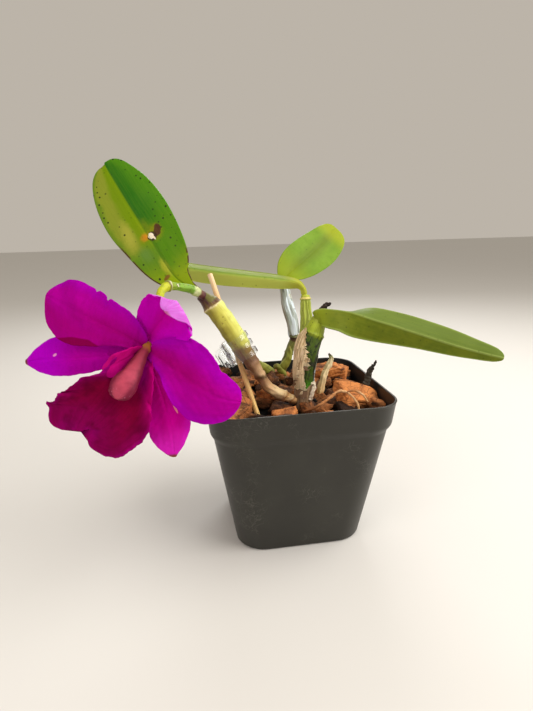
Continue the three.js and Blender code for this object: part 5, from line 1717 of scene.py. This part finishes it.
class ORCHID_OT_stake(bpy.types.Operator):
    """Stands the bamboo stake in the bark"""

    bl_idname = "orchid.stake"
    bl_label = "Stake"

    def execute(self, context):
        foot, top = np.array(STAKE["foot"]), np.array(STAKE["top"])
        below = foot - unit(top - foot) * STAKE["buried"]
        spec = {"points": [below, (below + top) / 2, top], "radii": [STAKE["radius"] * 0.97] * 3,
                "nodes": [(0.62, 0.14, 0.006)]}
        skin = stem_skin(spec, 48, 220, together(ribs(13, 0.03, 0, 1), lumps(6, 0.03)))
        # pale bamboo; its lower part is lightened further, as painted light where the flower and the clip shade
        # it
        bamboo = stem_finish(
            "Bamboo", [(0, 196, 146, 86), (0.3, 255, 214, 136), (0.6, 255, 212, 140),
                       (0.9, 244, 204, 154), (1, 248, 216, 176)],
            (0.5, 0.65), (0.06, 140, 96, 52), 0.3, (176, 118, 62), 0.35)
        piece("stake_bamboo", fused("stake_bamboo", [skin]), bamboo, ["stake"])
        return {"FINISHED"}


class ORCHID_OT_canes(bpy.types.Operator):
    """Grows the creeping stem and the four canes"""

    bl_idname = "orchid.canes"
    bl_label = "Canes"

    def execute(self, context):
        settings = context.scene.orchid_stems
        rib, ring = settings.rib_depth / MM, settings.ring_depth / MM
        plum, cream = (70, 28, 38), (222, 190, 142)
        leaning = stem_finish("Leaning cane", [
            (0, 120, 80, 52), (0.035, 206, 156, 104), (0.05, 150, 102, 66), (0.06, *cream),
            (0.1, 216, 172, 118), (0.115, 168, 116, 74), (0.135, *cream), (0.2, 244, 216, 166),
            (0.27, 214, 174, 128), (0.32, 176, 134, 102), (0.345, 92, 64, 50),
            (0.37, 206, 170, 130), (0.42, 180, 142, 108), (0.46, 112, 76, 62), (0.51, 130, 100, 56),
            (0.56, 198, 196, 84), (0.75, 208, 206, 88), (0.815, 206, 202, 100),
            (0.83, 224, 212, 158), (0.845, 104, 74, 50), (0.89, *plum), (1, 60, 22, 34)],
            (0.34, 0.5), (0.2, 116, 84, 40), 0.3, (150, 140, 50), marks=leaning_cane_marks, slant=LEAN)
        skin = stem_skin(CANE_A, 64, 260, together(
            ribs(9, 0.1, 0.42, 0.9, 4), ribs(5, 0.16, 0.02, 0.4, 2), lumps(7, 0.16, 8),
            slanted(step_at(0.83, 0.35), LEAN)))
        grow("cane_a", "grown", [skin], leaning)

        front = stem_finish("Front cane", [
            (0, 104, 86, 66), (0.17, 124, 104, 74), (0.22, 72, 100, 26), (0.45, 66, 88, 22),
            (0.78, 74, 96, 24), (0.84, 156, 172, 44), (0.95, 168, 184, 50),
            (1, 146, 156, 50)],
            (0.34, 0.5), (0.12, 30, 34, 16), 0.3, (30, 36, 16), marks=front_cane_marks)
        skin = stem_skin(CANE_B, 64, 220, together(
            ribs(8, 0.26, 0.2, 0.86, 2), lumps(8, 0.18, 3), step_at(0.83, 0.3)))
        grow("cane_b", "grown", [skin], front)

        ribbed = stem_finish("Ribbed cane", [
            (0, 120, 98, 60), (0.3, 146, 138, 66), (0.55, 164, 176, 68), (0.8, 178, 190, 78),
            (0.93, 170, 184, 78), (0.955, 230, 212, 130), (1, 178, 190, 56)],
            (0.36, 0.52), (0.12, 110, 96, 40), 0.5, (96, 108, 30))
        skin = stem_skin(CANE_C, 72, 200, together(
            ribs(9, rib, 0.3, 0.95, 6), lumps(8, 0.14, 5), step_at(0.955, 0.3)))
        grow("cane_c", "grown", [skin], ribbed)

        slim = stem_finish("Back cane", [
            (0, 104, 92, 48), (0.3, 126, 130, 68), (0.42, 118, 122, 64), (0.455, 84, 60, 44),
            (0.49, 60, 36, 32), (0.53, 130, 136, 90), (0.9, 150, 160, 110), (1, 170, 178, 80)],
            (0.4, 0.55), (0.15, 96, 80, 50), 0.3)
        skin = stem_skin(CANE_D, 48, 200, together(ribs(7, 0.12, 0, 1, 9), lumps(5, 0.14, 7)))
        grow("cane_d", "grown", [skin], slim)

        creeping = stem_finish("Creeping stem", [
            (0, 112, 84, 58), (0.4, 140, 108, 74), (0.6, 108, 80, 54), (1, 130, 98, 66)],
            (0.6, 0.8), (0.3, 60, 42, 28), 0.6, (70, 50, 34), 0.7)
        skin = stem_skin(RHIZOME, 48, 220, together(ringed(0.045, ring, 0.02, 0.98, 3), lumps(5, 0.3, 12)))
        grow("rhizome", "grown", [skin], creeping)
        return {"FINISHED"}


class ORCHID_OT_husks(bpy.types.Operator):
    """Wraps the canes in their dry sheaths and adds the dried remnants"""

    bl_idname = "orchid.husks"
    bl_label = "Husks"

    def execute(self, context):
        tan = papery("Tan husk", (246, 224, 182), (176, 144, 100), patches=tan_husk_marks)
        silver = papery("Silver husk", (208, 220, 220), (140, 148, 136), (0.35, 0.5), 0.0009, 0.3,
                        silver_husk_marks)
        white = papery("White husk", (236, 226, 204), (208, 190, 160))
        grow("husk_b", "wrapped", [husk_skin(HUSK_B, 150, 90, 0.22, 1.6, 3, 0.14)], tan)
        grow("husk_b_shard", "torn", [husk_skin(HUSK_B_SHARD, 80, 24, 0.1, 1.6, 7)], silver)
        grow("husk_d", "wrapped", [husk_skin(HUSK_D, 150, 110, 0.34, 0.8, 5)], silver)

        foot = {"points": CANE_B["points"][:3], "radii": [3.6, 3.9, 4.4], "off": 0.3, "wall": 0.5,
                "first": [0.4, 0.5, 0.6], "last": [6.4, 6.5, 6.2]}
        dull = papery("Old husk", (150, 124, 94), (104, 84, 62), (0.45, 0.65), 0.0008, 0.5)
        piece("husk_b_foot", fused("husk_b_foot", [husk_skin(foot, 70, 80, 0.25, 1.2, 11)]), dull)
        along_b = CANE_B["points"]
        flaps = [
            husk_skin({"points": along_b[2:5], "radii": [5.4, 6.0, 7.0], "off": 0.5, "wall": 0.35,
                       "first": [2.5, 2.7, 3.0], "last": [3.5, 3.9, 4.1]}, 60, 24, 0.25, 1.8, 31, 0.5),
            husk_skin({"points": along_b[3:5], "radii": [5.3, 6.4], "off": 0.6, "wall": 0.3,
                       "first": [3.6, 3.9], "last": [4.75, 4.3]}, 50, 24, 0.3, 2.0, 33, 0.3),
            husk_skin({"points": along_b[1:3], "radii": [4.2, 5.2], "off": 0.45, "wall": 0.3,
                       "first": [3.6, 3.8], "last": [4.6, 4.45]}, 50, 24, 0.2, 1.4, 35, 0.3),
        ]
        piece("husk_b_flaps", fused("husk_b_flaps", flaps), tan)
        curl = stem_skin({"points": [(8.8, -15.4, 79.4), (10.2, -15.0, 83.2), (11.4, -14.2, 86.4),
                                     (11.0, -13.6, 88.4),
                                     (9.8, -14.0, 88.0)], "radii": [1.0, 1.1, 1.0, 0.8, 0.5]}, 24, 90,
                         together(ribs(4, 0.25, 0, 1, 3), lumps(2.5, 0.2, 5)))
        piece("husk_b_curl", fused("husk_b_curl", [curl]), white)

        dried = stem_finish("Dried flower sheath", [
            (0, 52, 36, 28), (0.5, 36, 24, 20), (1, 26, 18, 18)], (0.6, 0.85),
            None, 0.4, (96, 74, 56), 0.9)
        spathe = stem_skin(DRIED_SPATHE, 32, 90, together(ribs(5, 0.3, 0, 1, 3), lumps(2.5, 0.3, 4)))
        grow("dried_spathe", "shrivelled", [spathe], dried)
        old = stem_finish("Old stub", [
            (0, 228, 184, 120), (0.35, 254, 234, 184), (0.7, 252, 238, 196),
            (0.82, 186, 184, 134), (0.9, 120, 120, 84), (1, 70, 56, 36)], (0.55, 0.75),
            (0.1, 140, 100, 60), 0.2, (196, 150, 90), 0.4)
        stub = stem_skin(OLD_STUB, 36, 120, together(ribs(6, 0.22, 0, 1, 5), lumps(4, 0.25, 6)))
        grow("old_stub", "dry", [stub], old)
        return {"FINISHED"}


class ORCHID_OT_roots(bpy.types.Operator):
    """Grows the green shoot and the roots on the bark"""

    bl_idname = "orchid.roots"
    bl_label = "Roots"

    def execute(self, context):
        fresh = stem_finish("Green root", [
            (0, 140, 142, 58), (0.4, 158, 162, 68), (0.75, 146, 152, 62), (1, 128, 124, 58)],
            (0.45, 0.6), (0.2, 116, 92, 50), 0.25)
        shoot = [stem_skin(s, 40, 110, together(lumps(4, 0.2, 4 + i), ribs(5, 0.08, 0, 1)))
                 for i, s in enumerate(GREEN_SHOOT)]
        grow("green_shoot", "grown", shoot, fresh)
        tan = stem_finish("Surface root", [
            (0, 150, 96, 56), (0.35, 186, 124, 72), (0.6, 226, 180, 130), (1, 206, 158, 104)], (0.6, 0.8),
            (0.1, 130, 92, 58), 0.3, (166, 122, 80), 0.6)
        surface = [stem_skin(s, 24, 130, lumps(2.5, 0.14, 8 + i)) for i, s in enumerate(SURFACE_ROOT)]
        grow("surface_root", "grown", surface, tan)
        dead = stem_finish("Dead root", [
            (0, 56, 48, 40), (0.5, 74, 68, 58), (1, 60, 56, 50)], (0.75, 0.95), None, 0.6,
            (40, 34, 28), 0.9)
        old = [stem_skin(s, 24, 110, together(lumps(2, 0.26, 15 + i), ribs(4, 0.15, 0, 1)))
               for i, s in enumerate(DEAD_ROOTS)]
        grow("dead_roots", "dry", old, dead)
        return {"FINISHED"}


class ORCHID_OT_leaves(bpy.types.Operator):
    """Grows the four leaves"""

    bl_idname = "orchid.leaves"
    bl_label = "Leaves"

    def execute(self, context):
        deep = context.scene.orchid_leaves.groove_depth / MM
        looks = {
            "leaf_a": (LEAF_A, deep, 0.05, leaf_finish(
                "Upper left leaf", ((84, 150, 30), (84, 150, 30)), ((122, 150, 70), (134, 158, 78)),
                upper_left_marks, specks=0.0), "leaf_upper"),
            # leaf B's last colour is a painted highlight along its keel
            "leaf_b": (LEAF_B, deep * 0.8, 0.08, leaf_finish(
                "Right leaf", ((102, 112, 26), (90, 104, 24)), ((102, 112, 26), (90, 104, 24)),
                right_leaf_marks, (0.42, 0.54), 0.5, (136, 152, 76)), "leaf_under"),
            "leaf_c": (LEAF_C, deep * 0.25, 0.08, leaf_finish(
                "Long leaf", ((112, 138, 50), (124, 148, 60)), ((112, 138, 50), (124, 148, 60)),
                long_leaf_marks, (0.42, 0.54), 0.1), "leaf_under"),
            "leaf_d": (LEAF_D, deep * 0.7, 0.06, leaf_finish(
                "Back leaf", ((112, 146, 38), (102, 136, 34)), ((118, 142, 54), (126, 150, 62)),
                back_leaf_marks, (0.4, 0.52)), "leaf_upper"),
        }
        for name, (spec, groove, width, look, slot) in looks.items():
            skin = blade_skin(spec, LEAF["thick"], LEAF["edge"], 150, 52, midrib(groove, width))
            grow(name, "blade", [skin], look)
        return {"FINISHED"}


class ORCHID_OT_flower(bpy.types.Operator):
    """Opens the flower: stalk, column, lip, petals and sepals"""

    bl_idname = "orchid.flower"
    bl_label = "Flower"

    def execute(self, context):
        settings = context.scene.orchid_flower
        place = flower_place()
        mid = (*settings.petal_colour, 1.0)
        crimson, violet = paint(152, 0, 100), paint(158, 0, 160)
        looks = {
            "petal_left": ({
                "mid": mid, "margin": violet, "tinge": paint(156, 0, 114), "heart_and_painted_light": paint(148, 0, 102),
                "lean": -1.0}, left_petal_painted_shade),
            "petal_right": ({
                "mid": mid, "margin": violet, "tinge": paint(160, 0, 164), "heart_and_painted_light": crimson,
                "lean": -0.7, "streak": -0.1}, None),
            # on the side sepals the heart is lighter than the mid: painted light where the lip and petals shade
            # them
            "sepal_left": ({
                "mid": paint(172, 0, 158), "margin": paint(164, 0, 166), "tinge": paint(178, 0, 158),
                "heart_and_painted_light": paint(184, 0, 156), "lean": -0.6}, left_sepal_marks),
            "sepal_right": ({
                "mid": paint(196, 0, 146), "margin": paint(196, 10, 170), "tinge": paint(206, 0, 160),
                "heart_and_painted_light": paint(214, 0, 162), "lean": 0.8}, right_sepal_marks),
            "sepal_dorsal": ({
                "mid": paint(190, 0, 178), "margin": paint(184, 0, 184), "tinge": paint(192, 0, 174),
                "heart_and_painted_light": paint(182, 0, 140), "lean": -0.5}, folded_tip),
        }
        for i, (name, spec) in enumerate(TEPALS.items()):
            skin = blade_skin(spec, TEPAL["thick"], TEPAL["edge"], 150, 70, petal_veins(0.012, 20 + i),
                              (0.1, 7), (0.2, 4), place)
            look, marks = looks[name]
            title = name.replace("_", " ").capitalize()
            grow(name, "open", [skin], petal_finish(title, look, settings, marks))
        frill = settings.frill_height / MM
        lip = [
            blade_skin(LIP, TEPAL["thick"], TEPAL["edge"], 260, 110, petal_veins(0.02, 40), (0.28 * frill, 15),
                       (frill, 9), place),
            blade_skin(LIP_SIDE, TEPAL["thick"], TEPAL["edge"], 120, 60, petal_veins(0.015, 43),
                       (0.2 * frill, 7), (0.3 * frill, 5), place),
        ]
        for lobe, skin in enumerate(lip):
            skin.readings["lobe"] = np.full(len(skin.points), float(lobe))
        grow("lip", "frilled", lip, lip_finish(settings))
        stalk = stem_skin(FLOWER_STALK, 48, 220, together(ribs(6, 0.08, 0, 1, 3), lumps(6, 0.1, 5)), place)
        green = stem_finish("Flower stalk", [
            (0, 82, 38, 46), (0.04, 104, 66, 54), (0.055, 186, 196, 136), (0.09, 206, 214, 158),
            (0.11, 116, 160, 52), (0.24, 128, 172, 52), (0.33, 138, 160, 50),
            (0.355, 214, 208, 176), (0.375, 120, 112, 50), (0.4, 190, 196, 40),
            (0.8, 176, 182, 50), (1, 160, 120, 80)],
            (0.4, 0.55), (0.4, 84, 60, 40), 0.12, marks=stalk_marks)
        grow("flower_stalk", "grown", [stalk], green)

        def swell(t, angle, places):
            return 0.25 * np.cos(2 * angle) * ease(t, 0.5, 0.9) + lumps(5, 0.08, 3)(t, angle, places)

        skin = stem_skin(COLUMN, 56, 140, swell, place)
        grow("column", "grown", [skin], column_finish())
        return {"FINISHED"}


def left_petal_painted_shade(g, chart, across, along, colour):
    """The left petal: painted shade, a dark lens along its lower margin where it curls back."""
    reach = g.times(g.fade(along, 0.4, 0.55), g.fade(along, 0.8, 0.62))
    # painted shade: a dark lens along the lower margin
    lens = g.minus(g.part_of(0.3, reach), across)
    return g.lay(colour, (124, 0, 68), g.fade(lens, 1.03, 1.08))


def left_sepal_marks(g, chart, across, along, colour):
    """The left sepal: a brighter violet end, a pale scar and a withered tip."""
    colour = g.layers(colour,
        ((168, 0, 190), g.fade(along, 0.5, 0.8), 0.8),
        ((226, 150, 200), spot(g, chart, (1.7, 38.2), (0.7, 1.2), 30), 0.9))
    return sepal_tip(g, chart, across, along, colour)


def right_sepal_marks(g, chart, across, along, colour):
    """The right sepal: a pale streak, a lilac end and a withered tip."""
    colour = g.layers(colour,
        ((236, 150, 150), spot(g, chart, (-3.9, 27.5), (0.55, 2.6), 12), 0.9),
        ((206, 40, 190), g.fade(along, 0.6, 0.92), 0.6))
    return sepal_tip(g, chart, across, along, colour)


def sepal_tip(g, chart, across, along, colour):
    """A sepal's brown, withered tip."""
    return g.lay(colour, (120, 62, 40), g.fade(along, 0.955, 0.99))


def folded_tip(g, chart, across, along, colour):
    """The folded sepal's small brown corner."""
    share = g.times(g.fade(along, 0.96, 0.99), g.fade(across, 0.3, 0.5))
    return g.lay(colour, (160, 90, 90), share, 0.7)


class ORCHID_OT_clip(bpy.types.Operator):
    """Makes the clear claw clip with its pin and coiled spring"""

    bl_idname = "orchid.clip"
    bl_label = "Clip"

    def execute(self, context):
        clear = clear_plastic()
        for node, body in (("clip_jaw_rear", PLANT), ("clip_jaw_front", "clip_jaw")):
            jaw = piece(node + "_moulded", merged_copy(node), clear, [node], body)
            bevel = jaw.modifiers.new("Bevel", "BEVEL")
            bevel.width, bevel.segments = CLIP["bevel"] * MM, 3
            bevel.limit_method, bevel.angle_limit = "ANGLE", math.radians(40)
            bevel.harden_normals = True
        steel = spring_steel()
        pin = {"points": [(0, 0, z) for z in CLIP["pin"]], "radii": [CLIP["pin_radius"]] * 3}
        grow("clip_pin", "steel", [stem_skin(pin, 32, 40, place=clip_place)], steel)
        t = np.linspace(0, 1, 90)
        angle = 2 * math.pi * CLIP["coils"] * t
        coil = np.stack([CLIP["coil_radius"] * np.cos(angle), CLIP["coil_radius"] * np.sin(angle),
                         CLIP["coil_start"] + CLIP["coil_long"] * t], -1)
        wire = {"points": coil, "radii": [CLIP["wire"]] * 2, "reference": (0.1, 0.2, 1)}
        grow("clip_spring", "coiled", [stem_skin(wire, 12, 420, place=clip_place)], steel)
        return {"FINISHED"}


class ORCHID_PT_panel(bpy.types.Panel):
    """Lists the orchid's pieces and what a user would change"""

    bl_idname = "ORCHID_PT_panel"
    bl_label = "Orchid"
    bl_space_type = "VIEW_3D"
    bl_region_type = "UI"
    bl_category = "Orchid"

    def draw(self, context):
        for title, holder, operators in SECTIONS:
            box = self.layout.box()
            box.label(text=title)
            if holder:
                settings = getattr(context.scene, holder)
                for key in settings.__annotations__:
                    box.prop(settings, key)
            for operator in operators:
                box.operator(operator.bl_idname)


SECTIONS = (
    ("Stage", "orchid_stage", (ORCHID_OT_stage,)),
    ("Pot", "orchid_pot", (ORCHID_OT_pot,)),
    ("Bark", "orchid_bark", (ORCHID_OT_bark,)),
    ("Stems", "orchid_stems", (ORCHID_OT_stake, ORCHID_OT_canes, ORCHID_OT_husks, ORCHID_OT_roots)),
    ("Leaves", "orchid_leaves", (ORCHID_OT_leaves,)),
    ("Flower", "orchid_flower", (ORCHID_OT_flower,)),
    ("Clip", None, (ORCHID_OT_clip,)),
)
HOLDERS = {
    "orchid_stage": OrchidStageSettings, "orchid_pot": OrchidPotSettings, "orchid_bark": OrchidBarkSettings,
    "orchid_stems": OrchidStemSettings, "orchid_leaves": OrchidLeafSettings,
    "orchid_flower": OrchidFlowerSettings,
}
OPERATORS = [operator for _, _, operators in SECTIONS for operator in operators]
CLASSES = (*HOLDERS.values(), *OPERATORS, ORCHID_PT_panel)


def register():
    for kind in CLASSES:
        bpy.utils.register_class(kind)
    for holder, kind in HOLDERS.items():
        setattr(bpy.types.Scene, holder, PointerProperty(type=kind))


def unregister():
    for holder in HOLDERS:
        delattr(bpy.types.Scene, holder)
    for kind in reversed(CLASSES):
        bpy.utils.unregister_class(kind)


def main():
    """Builds the whole plant."""
    register()
    for operator in OPERATORS:
        group, name = operator.bl_idname.split(".")
        getattr(getattr(bpy.ops, group), name)()


if __name__ == "__main__":
    main()
